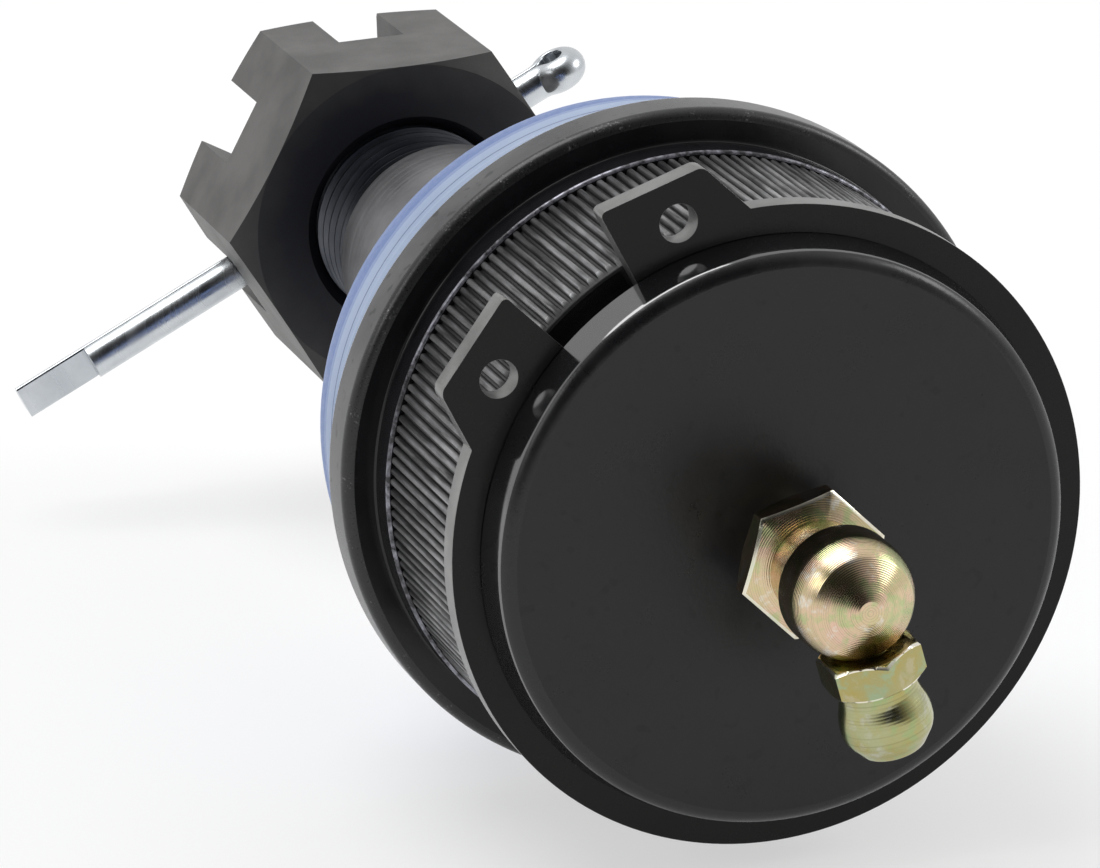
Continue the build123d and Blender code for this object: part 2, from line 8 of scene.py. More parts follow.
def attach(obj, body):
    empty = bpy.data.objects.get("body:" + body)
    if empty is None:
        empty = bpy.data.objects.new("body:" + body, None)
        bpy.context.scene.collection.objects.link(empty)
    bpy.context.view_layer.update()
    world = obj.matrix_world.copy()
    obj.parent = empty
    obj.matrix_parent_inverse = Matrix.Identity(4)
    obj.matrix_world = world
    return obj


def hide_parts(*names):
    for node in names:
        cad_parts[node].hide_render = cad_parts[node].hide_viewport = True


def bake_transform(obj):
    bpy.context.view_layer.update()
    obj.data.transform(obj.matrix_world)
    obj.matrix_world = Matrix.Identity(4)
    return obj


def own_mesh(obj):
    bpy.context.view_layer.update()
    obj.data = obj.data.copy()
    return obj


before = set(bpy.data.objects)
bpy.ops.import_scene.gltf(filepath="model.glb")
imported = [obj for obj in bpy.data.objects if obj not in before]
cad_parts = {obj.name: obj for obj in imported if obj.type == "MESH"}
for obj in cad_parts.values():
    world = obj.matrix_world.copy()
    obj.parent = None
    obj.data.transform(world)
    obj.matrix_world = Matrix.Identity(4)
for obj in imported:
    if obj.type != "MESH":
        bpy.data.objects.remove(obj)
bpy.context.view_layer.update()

# Sizes of the ball joint in millimetres. They follow the solids, apart from finer forms that only the
# scene has. The ball's centre is the origin, the stud runs along +Y and the closed end faces -Y.
MM = 0.001

FACE = -22.0
SOCKET_FLOOR = -17.0
LAND_R = 21.65
LAND_FRONT_R = 20.95
FACE_ROUND = 0.9
GROOVE_R = 20.3
GROOVE_NEAR = -18.8
GROOVE_FAR = -16.95
KNURL_R = 22.85
KNURL_DEPTH = 0.32
KNURL_FAR = -2.35
KNURL_TEETH = 180
KNURL_RUNOUT = 0.8
TOOTH_SINK = 0.1
TOOTH_FOOT_SHARE = 0.46
TOOTH_CREST_SHARE = 0.2
TOOTH_BREAK = 0.08
SHOULDER_R = 23.15
FLANGE_NEAR = 0.05
FLANGE_FAR = 4.15
FLANGE_R = 25.6
FLANGE_ROUND = 0.8
BOOT_SEAT_R = 20.6
LIP_FAR = 11.2
LIP_INNER_R = 16.4
CLOSURE_R = 19.0
CLOSURE_NEAR = 7.0
CLOSURE_FAR = 10.0
SOCKET_R = 18.0

RING_NEAR = -18.75
RING_FAR = -17.0
RING_INNER_R = 20.35
RING_OUTER_R = 23.7
RING_GAP = 127.0
RING_GAP_HALF = 9.0
LUG_REACH = 27.5
LUG_TIP = 25.8
LUG_ROOT = 32.7
LUG_ROUND = 0.5
LUG_HOLE_R = 1.4
LUG_HOLE_REACH = 24.15
LUG_HOLE_ANGLE = 19.9
RING_EDGE_ROUND = 0.16

ELBOW_FLATS = 9.53
ELBOW_HEX_NEAR = -25.2
ELBOW_HEX_FAR = -27.6
ELBOW_HEX_SLOPE = 16.0
ELBOW_NECK_R = 3.5
ELBOW_HEAD_NEAR = -31.4
ELBOW_HEAD_R = 4.48
ELBOW_DOME = -33.6
ELBOW_CROSS = -34.2
ELBOW_CONE_R = 3.6
ELBOW_CAP_R = 0.95
ELBOW_CAP = -37.46
ELBOW_SHANK_R = 3.0
ELBOW_SHANK_END = -17.3
ELBOW_SHANK_GAP = 0.05
ELBOW_THREAD_PITCH = 0.9
ELBOW_THREAD_DEPTH = 0.4
ELBOW_EDGE_BREAK = 0.2
NIPPLE_DIRECTION = -74.0
NIPPLE_SEAT = 3.9
NIPPLE_FLATS = 6.5
NIPPLE_FLAT_TURN = 30.0
NIPPLE_COLLAR_END = 6.4
NIPPLE_EDGE_BREAK = 0.16
NIPPLE_NECK_R = 2.8
NIPPLE_NECK_END = 7.3
NIPPLE_HEAD_R = 3.275
NIPPLE_BELLY_START = 8.7
NIPPLE_BELLY_END = 10.2
NIPPLE_TIP = 11.7
NIPPLE_TIP_R = 2.2
NIPPLE_SHANK_R = 1.7
NIPPLE_SHANK_END = 1.7
NIPPLE_BORE_R = 1.3
NIPPLE_ORIFICE_R = 0.7
NIPPLE_CONE_START = 10.1
NIPPLE_CONE_END = 11.1
CHECK_WIRE_R = 0.15
CHECK_COIL_R = 1.0
CHECK_COIL_TURNS = 5
CHECK_COIL_START = 1.9
CHECK_COIL_END = 9.6

BOOT_BASE_R = 22.8
BOOT_BASE_NEAR = 4.3
BOOT_BASE_FAR = 7.9
BOOT_SEAT_BORE = 20.65
BOOT_CENTRE_R = 15.7
BOOT_CENTRE = 11.2
BOOT_BULGE = 7.8
BOOT_WALL = 1.8
BOOT_SEAM = 10.0
BOOT_SEAM_HALF = 0.06
BOOT_PALE_END = 11.0
BOOT_BLUE_START = 11.45
BOOT_SPLIT = 40.0
BOOT_COLLAR_R = 13.5
BOOT_LAND_BORE = 10.75
BOOT_RING_WIRE_R = 0.8
BOOT_RING_GAP = 0.05
BASE_RING_PLACE = 6.1
NECK_RING_PLACE = 26.5

BALL_R = 15.0
BALL_FLAT = 1.0
BALL_ARC = (-68.9, 56.6)
NECK_R = 8.25
NECK_END = 20.0
LAND_START = 24.5
LAND_END = 28.5
SEAL_LAND_R = 10.7
TAPER_LARGE_R = 10.5
TAPER_SMALL_R = 8.9375
TAPER_END = 53.5
RELIEF_R = 7.1
RELIEF_END = 55.1
THREAD_R = 8.0
THREAD_ROOT_R = 7.1
THREAD_PITCH = 1.5
STUD_END = 80.8

NUT_SEAT = 62.0
NUT_FAR = 78.8
NUT_FLATS = 26.5
NUT_FLAT_DIRECTION = 32.0
NUT_BORE_R = 8.05
NUT_SLOT_WIDTH = 5.6
NUT_SLOT_DEPTH = 7.4
NUT_COUNTERSINK = 0.9
NUT_EDGE_ROUND = 0.3
NUT_SEAM_TURN = 25.0
HEX_CHAMFER = 30.0
TOOL_PAST_END = 0.5

PIN_DIRECTION = 27.5
PIN_AXIS = 73.2
PIN_R = 1.5
PIN_SPLIT = 0.05
PIN_LONG_LEG = 34.0
PIN_SHORT_LEG = 27.5
PIN_EYE_R = 1.0
PIN_THROAT_R = 1.6
PIN_THROAT = 16.45
PIN_HOLE_R = 1.8
PIN_EDGE_ROUND = 0.2
PIN_END_STEP = 0.25

SHARP_EDGE = 36.0


# Shaping helpers

def polar(radius, degrees, place=0.0):
    """A point at a direction seen from the closed end, with X to the right and Z up."""
    angle = math.radians(degrees)
    return Vector((radius * math.cos(angle), place, radius * math.sin(angle)))


def arc(radius, place, reach, start, end, count):
    """Corners of a round stretch of an outline, about a centre at (radius, place)."""
    corners = []
    for step in range(count + 1):
        angle = math.radians(start + (end - start) * step / count)
        corners.append((radius + reach * math.cos(angle), place + reach * math.sin(angle)))
    return corners


def round_corner(bm, vert, size, segments=5):
    bmesh.ops.bevel(bm, geom=[vert], offset=size, offset_type="OFFSET", segments=segments,
                    profile=0.5, affect="VERTICES", material=-1)


def whole(bm):
    return bm.verts[:] + bm.edges[:] + bm.faces[:]


def chain(bm, points, closed=True):
    """Verts at points, with an edge from each one to the next."""
    verts = [bm.verts.new(point) for point in points]
    for first, second in zip(verts, verts[1:]):
        bm.edges.new((first, second))
    if closed:
        bm.edges.new((verts[-1], verts[0]))
    return verts


def extrude(bm, faces, vec):
    """Draw faces out along a vector and hand back the faces at the far end."""
    risen = bmesh.ops.extrude_face_region(bm, geom=faces)["geom"]
    moved = [item for item in risen if isinstance(item, bmesh.types.BMVert)]
    bmesh.ops.translate(bm, verts=moved, vec=vec)
    return [item for item in risen if isinstance(item, bmesh.types.BMFace)]


def turn_shape(bm, axis, degrees):
    turn = Matrix.Rotation(math.radians(degrees), 3, axis)
    bmesh.ops.rotate(bm, verts=bm.verts, cent=(0, 0, 0), matrix=turn)


def creases(bm, limit):
    """The edges that are sharper than a limit in degrees."""
    least = math.radians(limit)
    return [e for e in bm.edges if len(e.link_faces) == 2 and e.calc_face_angle() > least]


def outline(corners, closed=True):
    """A wire through (radius, place) corners; a third number rounds that corner."""
    bm = bmesh.new()
    verts = chain(bm, [(corner[0], corner[1], 0) for corner in corners], closed)
    for vert, corner in zip(verts, corners):
        if len(corner) > 2:
            round_corner(bm, vert, corner[2])
    return bm


def settle(bm):
    bmesh.ops.remove_doubles(bm, verts=bm.verts, dist=0.0005)
    bmesh.ops.recalc_face_normals(bm, faces=bm.faces)
    return bm


def turned(corners, steps=144, closed=True):
    """Spin an outline about the stud's axis."""
    bm = outline(corners, closed)
    bmesh.ops.spin(bm, geom=bm.verts[:] + bm.edges[:], cent=(0, 0, 0), axis=(0, 1, 0),
                   angle=math.tau, steps=steps, use_merge=True)
    return settle(bm)


def join(bm, other):
    """Add another shape to this one and let go of it."""
    carrier = bpy.data.meshes.new("carrier")
    other.to_mesh(carrier)
    other.free()
    bm.from_mesh(carrier)
    bpy.data.meshes.remove(carrier)
    return bm


def cut(bm, tool, operation="DIFFERENCE"):
    """Take a tool's shape away from a shape, or keep only what both share."""
    shapes = []
    for source in (bm, tool):
        mesh = bpy.data.meshes.new("cut")
        source.to_mesh(mesh)
        source.free()
        shape = bpy.data.objects.new("cut", mesh)
        bpy.context.scene.collection.objects.link(shape)
        shapes.append(shape)
    modifier = shapes[0].modifiers.new("cut", "BOOLEAN")
    modifier.operation = operation
    modifier.solver = "EXACT"
    modifier.object = shapes[1]
    bpy.context.view_layer.update()
    result = shapes[0].evaluated_get(bpy.context.evaluated_depsgraph_get()).to_mesh()
    made = bmesh.new()
    made.from_mesh(result)
    for shape in shapes:
        mesh = shape.data
        bpy.data.objects.remove(shape)
        bpy.data.meshes.remove(mesh)
    bmesh.ops.remove_doubles(made, verts=made.verts, dist=0.0005)
    return made


def round_edges(bm, edges, size):
    bmesh.ops.bevel(bm, geom=edges, offset=size, offset_type="OFFSET", segments=3,
                    profile=0.5, affect="EDGES", material=-1, clamp_overlap=True)


def hex_bar(flats, direction, near, far):
    """A plain hexagon bar along the axis, with one flat facing a direction."""
    bm = bmesh.new()
    corner = flats / 2 / math.cos(math.pi / 6)
    bmesh.ops.create_circle(bm, cap_ends=True, segments=6, radius=corner)
    turn_shape(bm, "Z", direction)
    turn_shape(bm, "X", 90)
    bmesh.ops.translate(bm, verts=bm.verts, vec=(0, near, 0))
    extrude(bm, bm.faces[:], (0, far - near, 0))
    bmesh.ops.recalc_face_normals(bm, faces=bm.faces)
    return bm


def hexagon(flats, direction, near, far, chamfer_near=True):
    """A hexagon bar with its corners turned down at its far end, or at both ends."""
    slope = math.tan(math.radians(HEX_CHAMFER))
    corner = flats / 2 / math.cos(math.pi / 6) + 0.5
    drop = (corner - flats / 2) * slope
    # The turning tool reaches past both ends of the bar, so that no faces of the two lie in one plane.
    tip = flats / 2 - TOOL_PAST_END / slope
    low = [(corner, near - TOOL_PAST_END)]
    if chamfer_near:
        low = [(tip, near - TOOL_PAST_END), (corner, near + drop)]
    high = [(corner, far - drop), (tip, far + TOOL_PAST_END)]
    ends = [(0, near - TOOL_PAST_END)] + low + high + [(0, far + TOOL_PAST_END)]
    return cut(hex_bar(flats, direction, near, far), turned(ends, 120, closed=False), "INTERSECT")


def nipple_frame():
    """From a shape along +Y to the nipple's own direction, from the elbow's axis outwards."""
    along = polar(1, NIPPLE_DIRECTION)
    side = Vector((0, 1, 0))
    across = side.cross(along)
    turn = Matrix((side, along, across)).transposed().to_4x4()
    return Matrix.Translation((0, ELBOW_CROSS, 0)) @ turn


def break_edges(bm, flats, direction, width, coats, flat):
    """Break the end edges of a hexagon and give the narrow bands a pale chromate as a painted highlight.
    """
    sides = [polar(1, direction + 60 * step) for step in range(6)]
    for facing in sides:
        bmesh.ops.bisect_plane(bm, geom=whole(bm), dist=0.0001,
                               plane_co=facing * (flats / 2 - width), plane_no=facing)
    bm.normal_update()
    lowered = {}
    for face in bm.faces:
        middle = face.calc_center_median()
        out = max(middle.dot(facing) for facing in sides)
        band = abs(face.normal.y) > 0.5 and out > flats / 2 - width
        face.material_index = coats.index(EDGE_GOLD_HIGHLIGHT if band else flat)
        if band:
            drop = math.copysign(width * 0.6, face.normal.y)
            for vert in face.verts:
                if max(vert.co.dot(facing) for facing in sides) > flats / 2 - 0.001:
                    lowered[vert] = drop
    for vert, drop in lowered.items():
        vert.co.y -= drop


def mean_radius(face):
    centre = face.calc_center_median()
    return math.hypot(centre.x, centre.z)


def piece(name, bm, finishes, body, slot, *nodes):
    """Make a finished object from a shape in millimetres and let it ride on its body."""
    bmesh.ops.scale(bm, vec=(MM, MM, MM), verts=bm.verts)
    bm.normal_update()
    for face in bm.faces:
        face.smooth = abs(face.normal.y) < 0.999
    for edge in creases(bm, SHARP_EDGE):
        edge.smooth = False
    mesh = bpy.data.meshes.new(name)
    bm.to_mesh(mesh)
    bm.free()
    for finish in finishes:
        mesh.materials.append(finish)
    made = bpy.data.objects.new(name, mesh)
    bpy.context.scene.collection.objects.link(made)
    if body:
        made.modifiers.new("even_shading", "WEIGHTED_NORMAL").keep_sharp = True
        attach(made, body)
    if nodes:
        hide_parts(*nodes)
    return made


# Finishes

def add(tree, kind, settings=(), **values):
    """A node with its settings and the values of its named sockets."""
    made = tree.nodes.new(kind)
    for key, value in dict(settings).items():
        setattr(made, key, value)
    for key, value in values.items():
        made.inputs[key.replace("_", " ")].default_value = value
    return made


def calc(tree, operation, first, second=None, third=None):
    made = add(tree, "ShaderNodeMath", {"operation": operation})
    for index, value in enumerate((first, second, third)):
        if value is None:
            continue
        if isinstance(value, (int, float)):
            made.inputs[index].default_value = value
        else:
            tree.links.new(value, made.inputs[index])
    return made.outputs[0]


def spread(tree, value, low, high, out_low=0.0, out_high=1.0):
    """A value carried from one range to another."""
    made = add(tree, "ShaderNodeMapRange", {"clamp": True}, From_Min=low, From_Max=high,
               To_Min=out_low, To_Max=out_high)
    tree.links.new(value, made.inputs["Value"])
    return made.outputs["Result"]


def weigh(tree, first, share, second, rest):
    """Two values added up, each with its own weight."""
    return calc(tree, "ADD", calc(tree, "MULTIPLY", first, share), calc(tree, "MULTIPLY", second, rest))


def tint(tree, share, first, second):
    """A colour between two colours, each a colour or a socket."""
    made = add(tree, "ShaderNodeMix", {"data_type": "RGBA"})
    for value, index in ((share, 0), (first, 6), (second, 7)):
        socket = made.inputs[index]
        if isinstance(value, bpy.types.NodeSocket):
            tree.links.new(value, socket)
        elif isinstance(value, (int, float)):
            socket.default_value = value
        else:
            socket.default_value = (*value, 1.0)
    return made.outputs[2]


def group(name, inputs, outputs):
    tree = bpy.data.node_groups.new(name, "ShaderNodeTree")
    for label, kind, value in inputs:
        socket = tree.interface.new_socket(label, in_out="INPUT", socket_type=kind)
        socket.default_value = value
    for label, kind in outputs:
        tree.interface.new_socket(label, in_out="OUTPUT", socket_type=kind)
    return tree, tree.nodes.new("NodeGroupInput"), tree.nodes.new("NodeGroupOutput")


def make_grain():
    """Fine and broad unevenness of a cast, coated or moulded surface."""
    tree, given, out = group(
        "surface_grain",
        [("Size", "NodeSocketFloat", 0.5), ("Broad Size", "NodeSocketFloat", 6.0)],
        [("Fine", "NodeSocketFloat"), ("Broad", "NodeSocketFloat"), ("Pits", "NodeSocketFloat")],
    )
    place = add(tree, "ShaderNodeTexCoord").outputs["Object"]
    fine = add(tree, "ShaderNodeTexNoise", Detail=3.0, Roughness=0.6)
    broad = add(tree, "ShaderNodeTexNoise", Detail=4.0, Roughness=0.55)
    pits = add(tree, "ShaderNodeTexNoise", Detail=1.0, Roughness=0.4)
    fine_scale = calc(tree, "DIVIDE", 1000.0, given.outputs["Size"])
    tree.links.new(fine_scale, fine.inputs["Scale"])
    tree.links.new(calc(tree, "DIVIDE", 1000.0, given.outputs["Broad Size"]), broad.inputs["Scale"])
    tree.links.new(calc(tree, "MULTIPLY", fine_scale, 0.37), pits.inputs["Scale"])
    for noise in (fine, broad, pits):
        tree.links.new(place, noise.inputs["Vector"])
    tree.links.new(fine.outputs["Fac"], out.inputs["Fine"])
    tree.links.new(spread(tree, broad.outputs["Fac"], 0.35, 0.65), out.inputs["Broad"])
    tree.links.new(spread(tree, pits.outputs["Fac"], 0.66, 0.74), out.inputs["Pits"])
    return tree


def make_lines():
    """Fine tool lines round a turned piece, from its own axis along Y, in millimetres."""
    tree, given, out = group(
        "turned_lines",
        [("Vector", "NodeSocketVector", (0, 0, 0)), ("Spacing", "NodeSocketFloat", 0.3)],
        [("Lines", "NodeSocketFloat"), ("Radius", "NodeSocketFloat"), ("Along", "NodeSocketFloat")],
    )
    parts = add(tree, "ShaderNodeSeparateXYZ")
    tree.links.new(given.outputs["Vector"], parts.inputs[0])
    squares = [calc(tree, "MULTIPLY", parts.outputs[axis], parts.outputs[axis]) for axis in "XZ"]
    across = calc(tree, "SQRT", calc(tree, "ADD", *squares))
    radius = calc(tree, "MULTIPLY", across, 1000.0)
    along = calc(tree, "MULTIPLY", parts.outputs["Y"], 1000.0)
    lines = add(tree, "ShaderNodeTexNoise", {"noise_dimensions": "1D"},
                Scale=1.0, Detail=4.0, Roughness=0.7)
    both = calc(tree, "ADD", calc(tree, "MULTIPLY", radius, 1.13), along)
    tree.links.new(calc(tree, "DIVIDE", both, given.outputs["Spacing"]), lines.inputs["W"])
    tree.links.new(lines.outputs["Fac"], out.inputs["Lines"])
    tree.links.new(radius, out.inputs["Radius"])
    tree.links.new(along, out.inputs["Along"])
    return tree


GRAIN = make_grain()
LINES = make_lines()


def place_group(tree, source, **values):
    made = tree.nodes.new("ShaderNodeGroup")
    made.node_tree = source
    for key, value in values.items():
        made.inputs[key.replace("_", " ")].default_value = value
    return made


def start_finish(name, **constants):
    """A new material and its shader, with the numbers that are the same all over."""
    made = bpy.data.materials.new(name)
    made.use_nodes = True
    tree = made.node_tree
    shader = tree.nodes["Principled BSDF"]
    for key, value in constants.items():
        shader.inputs[key.replace("_", " ")].default_value = value
    return made, tree, shader


def raise_normal(tree, shader, height, strength, depth):
    """Relief from a height between 0 and 1, with its depth in millimetres."""
    bump = add(tree, "ShaderNodeBump", Strength=strength, Distance=depth * MM)
    tree.links.new(height, bump.inputs["Height"])
    tree.links.new(bump.outputs["Normal"], shader.inputs["Normal"])


def vary_roughness(tree, shader, value, smooth, rough):
    tree.links.new(spread(tree, value, 0.3, 0.7, smooth, rough), shader.inputs["Roughness"])


def axis_lines(tree, spacing, centre=(0, 0, 0), turn=(0, 0, 0)):
    """The turned lines about an axis through a centre."""
    place = add(tree, "ShaderNodeTexCoord").outputs["Object"]
    mapping = add(tree, "ShaderNodeMapping", {"vector_type": "TEXTURE"})
    mapping.inputs["Location"].default_value = [value * MM for value in centre]
    mapping.inputs["Rotation"].default_value = turn
    tree.links.new(place, mapping.inputs["Vector"])
    lines = place_group(tree, LINES, Spacing=spacing)
    tree.links.new(mapping.outputs["Vector"], lines.inputs["Vector"])
    return lines.outputs


def black_coat(name, dark, light, smooth, rough, size, depth, specular, metallic=0.0, index=1.5):
    """Black coating on forged steel."""
    made, tree, shader = start_finish(name, Specular_IOR_Level=specular, Metallic=metallic, IOR=index)
    grain = place_group(tree, GRAIN, Size=size, Broad_Size=size * 14).outputs
    colour = tint(tree, grain["Broad"], dark, light)
    colour = tint(tree, calc(tree, "MULTIPLY", grain["Pits"], 0.5), colour, (0.004, 0.004, 0.004))
    tree.links.new(colour, shader.inputs["Base Color"])
    uneven = weigh(tree, grain["Fine"], 0.5, grain["Broad"], 0.5)
    tree.links.new(spread(tree, uneven, 0.2, 0.8, smooth, rough), shader.inputs["Roughness"])
    raise_normal(tree, shader, grain["Fine"], 0.5, depth)
    return made


def edge_wear_and_highlight(name, dark, pale_tone, amount, patch, broken):
    """A coated edge with pale patches in its coating: worn through on the flange's edge, and a painted
    highlight on the shoulder.
    """
    made, tree, shader = start_finish(name, Specular_IOR_Level=0.5)
    grain = place_group(tree, GRAIN, Size=patch, Broad_Size=patch * 9).outputs
    share = calc(tree, "ADD", grain["Fine"], calc(tree, "MULTIPLY", grain["Broad"], 0.25))
    through = spread(tree, share, 1.0 - amount, 1.0 - amount + broken)
    tree.links.new(tint(tree, through, dark, pale_tone), shader.inputs["Base Color"])
    tree.links.new(calc(tree, "MULTIPLY", through, 0.7), shader.inputs["Metallic"])
    vary_roughness(tree, shader, grain["Fine"], 0.24, 0.4)
    raise_normal(tree, shader, grain["Fine"], 0.4, 0.015)
    return made


def knurl_finish():
    """Black in the grooves of the knurl, with pale steel unevenly on its crests, no two teeth alike:
    partly worn crests, partly a painted highlight, and faded towards the flange as painted shade.
    """
    made, tree, shader = start_finish("knurl_black", Specular_IOR_Level=0.35)
    parts = add(tree, "ShaderNodeSeparateXYZ")
    tree.links.new(add(tree, "ShaderNodeTexCoord").outputs["Object"], parts.inputs[0])
    angle = calc(tree, "ARCTAN2", parts.outputs["Z"], parts.outputs["X"])
    around = calc(tree, "MULTIPLY", angle, KNURL_TEETH / math.tau)
    streak_place = add(tree, "ShaderNodeCombineXYZ")
    tree.links.new(calc(tree, "MULTIPLY", around, 0.8), streak_place.inputs["X"])
    tree.links.new(calc(tree, "MULTIPLY", parts.outputs["Y"], 90.0), streak_place.inputs["Y"])
    streaks = add(tree, "ShaderNodeTexNoise", Scale=1.0, Detail=3.0, Roughness=0.7)
    tree.links.new(streak_place.outputs[0], streaks.inputs["Vector"])
    grain = place_group(tree, GRAIN, Size=0.3, Broad_Size=3.5).outputs
    place = axis_lines(tree, 0.6)
    crest = spread(tree, place["Radius"], KNURL_R - 0.24, KNURL_R - 0.03)
    # Pale steel on the crests: partly wear, partly a painted highlight.
    crest_wear_and_sheen = calc(tree, "MULTIPLY", crest, spread(tree, streaks.outputs["Fac"], 0.38, 0.64))
    crest_wear_and_sheen = calc(tree, "MULTIPLY", crest_wear_and_sheen, spread(tree, grain["Broad"], 0.0, 1.0, 0.5, 1.0))
    # Painted shade: the crests are made darker towards the flange.
    crest_wear_and_sheen = calc(tree, "MULTIPLY", crest_wear_and_sheen, spread(tree, place["Along"], -13.0, -4.0, 1.0, 0.35))
    colour = tint(tree, crest_wear_and_sheen, (0.012, 0.012, 0.013), (0.43, 0.43, 0.44))
    tree.links.new(colour, shader.inputs["Base Color"])
    tree.links.new(calc(tree, "MULTIPLY", crest_wear_and_sheen, 0.8), shader.inputs["Metallic"])
    vary_roughness(tree, shader, grain["Fine"], 0.3, 0.5)
    raise_normal(tree, shader, streaks.outputs["Fac"], 0.6, 0.05)
    return made


def dark_steel(name, dark, light, smooth, rough, metallic):
    """Blackened steel with an even fine grain."""
    made, tree, shader = start_finish(name, Specular_IOR_Level=0.4, Metallic=metallic)
    grain = place_group(tree, GRAIN, Size=0.16, Broad_Size=4.8).outputs
    tone = weigh(tree, grain["Fine"], 0.6, grain["Broad"], 0.4)
    colour = tint(tree, spread(tree, tone, 0.25, 0.75), dark, light)
    tree.links.new(colour, shader.inputs["Base Color"])
    vary_roughness(tree, shader, grain["Fine"], smooth, rough)
    raise_normal(tree, shader, grain["Fine"], 0.45, 0.008)
    return made


def nut_face_shade_finish():
    """End faces of the blackened nut, near black as painted shade, darkest round the bore and paler
    towards its corners as painted sheen.
    """
    made, tree, shader = start_finish("nut_face", Specular_IOR_Level=0.35)
    radius = axis_lines(tree, 0.5)["Radius"]
    grain = place_group(tree, GRAIN, Size=0.2, Broad_Size=5.0).outputs
    uneven = calc(tree, "ADD", radius, calc(tree, "MULTIPLY", grain["Broad"], 1.6))
    outer = spread(tree, uneven, 11.6, 15.4)
    colour = tint(tree, grain["Fine"], (0.005, 0.005, 0.008), (0.013, 0.013, 0.018))
    tree.links.new(tint(tree, outer, colour, (0.055, 0.054, 0.053)), shader.inputs["Base Color"])
    tree.links.new(calc(tree, "MULTIPLY", outer, 0.55), shader.inputs["Metallic"])
    vary_roughness(tree, shader, grain["Fine"], 0.4, 0.56)
    raise_normal(tree, shader, grain["Fine"], 0.45, 0.01)
    return made


def bright_metal(name, first, second, smooth, rough, spacing, depth):
    """Plated or ground metal with fine tool lines and a cloudy tone."""
    made, tree, shader = start_finish(name, Metallic=1.0)
    lines = axis_lines(tree, spacing)
    grain = place_group(tree, GRAIN, Size=0.25, Broad_Size=4.0).outputs
    tone = weigh(tree, lines["Lines"], 0.45, grain["Broad"], 0.55)
    tree.links.new(tint(tree, tone, first, second), shader.inputs["Base Color"])
    vary_roughness(tree, shader, lines["Lines"], smooth, rough)
    height = weigh(tree, lines["Lines"], 0.8, grain["Fine"], 0.2)
    raise_normal(tree, shader, height, 0.6, depth)
    return made


def chromate(name, centre, turn, feed, depth, furrows, first, second, green, silver, turned_sheen=0.0):
    """Yellow chromate with the tool's marks, drifting from gold to pink, green and silver."""
    made, tree, shader = start_finish(name, Metallic=1.0, Anisotropic=turned_sheen)
    if turned_sheen:
        around = add(tree, "ShaderNodeVectorMath", {"operation": "CROSS_PRODUCT"})
        tree.links.new(add(tree, "ShaderNodeTexCoord").outputs["Object"], around.inputs[0])
        around.inputs[1].default_value = (0, 1, 0)
        tree.links.new(around.outputs["Vector"], shader.inputs["Tangent"])
    lines = axis_lines(tree, feed * 2.5, centre, turn)
    grain = place_group(tree, GRAIN, Size=0.35, Broad_Size=2.2).outputs
    drift = add(tree, "ShaderNodeTexNoise", Scale=480.0, Detail=4.0, Roughness=0.62)
    tree.links.new(add(tree, "ShaderNodeTexCoord").outputs["Object"], drift.inputs["Vector"])
    colour = tint(tree, grain["Broad"], first, second)
    colour = tint(tree, spread(tree, drift.outputs["Fac"], 0.5, 0.6, 0.0, 0.85), colour, green)
    colour = tint(tree, spread(tree, drift.outputs["Fac"], 0.36, 0.44, 0.8, 0.0), colour, silver)
    travel = calc(tree, "ADD", lines["Along"], lines["Radius"])
    wave = calc(tree, "SINE", calc(tree, "MULTIPLY", travel, math.tau / feed))
    ridge = spread(tree, wave, -1.0, 1.0)
    deep = spread(tree, ridge, 0.0, 0.45, furrows, 0.0)
    furrow = calc(tree, "MULTIPLY", deep, spread(tree, lines["Lines"], 0.4, 0.65))
    tree.links.new(tint(tree, furrow, colour, (0.16, 0.13, 0.07)), shader.inputs["Base Color"])
    tree.links.new(spread(tree, grain["Broad"], 0.0, 1.0, 0.14, 0.25), shader.inputs["Roughness"])
    height = weigh(tree, ridge, 0.55, lines["Lines"], 0.45)
    raise_normal(tree, shader, height, 0.7, depth)
    return made


def rubber(name, first, second, line):
    """Blue moulded rubber with faint mould lines."""
    made, tree, shader = start_finish(name, Specular_IOR_Level=0.45)
    lines = axis_lines(tree, 0.8)
    grain = place_group(tree, GRAIN, Size=0.4, Broad_Size=9.0).outputs
    colour = tint(tree, grain["Broad"], first, second)
    mark = spread(tree, lines["Lines"], 0.58, 0.7, 0.0, 0.45)
    tree.links.new(tint(tree, mark, colour, line), shader.inputs["Base Color"])
    vary_roughness(tree, shader, grain["Fine"], 0.36, 0.55)
    height = weigh(tree, lines["Lines"], 0.6, grain["Fine"], 0.4)
    raise_normal(tree, shader, height, 0.45, 0.03)
    return made


def plastic(name, first, second):
    """Pale moulded plastic."""
    made, tree, shader = start_finish(name, Specular_IOR_Level=0.45)
    grain = place_group(tree, GRAIN, Size=0.5, Broad_Size=5.0).outputs
    tree.links.new(tint(tree, grain["Broad"], first, second), shader.inputs["Base Color"])
    vary_roughness(tree, shader, grain["Fine"], 0.4, 0.6)
    raise_normal(tree, shader, grain["Fine"], 0.4, 0.02)
    return made


ELBOW_CENTRE = (0, ELBOW_CROSS, 0)

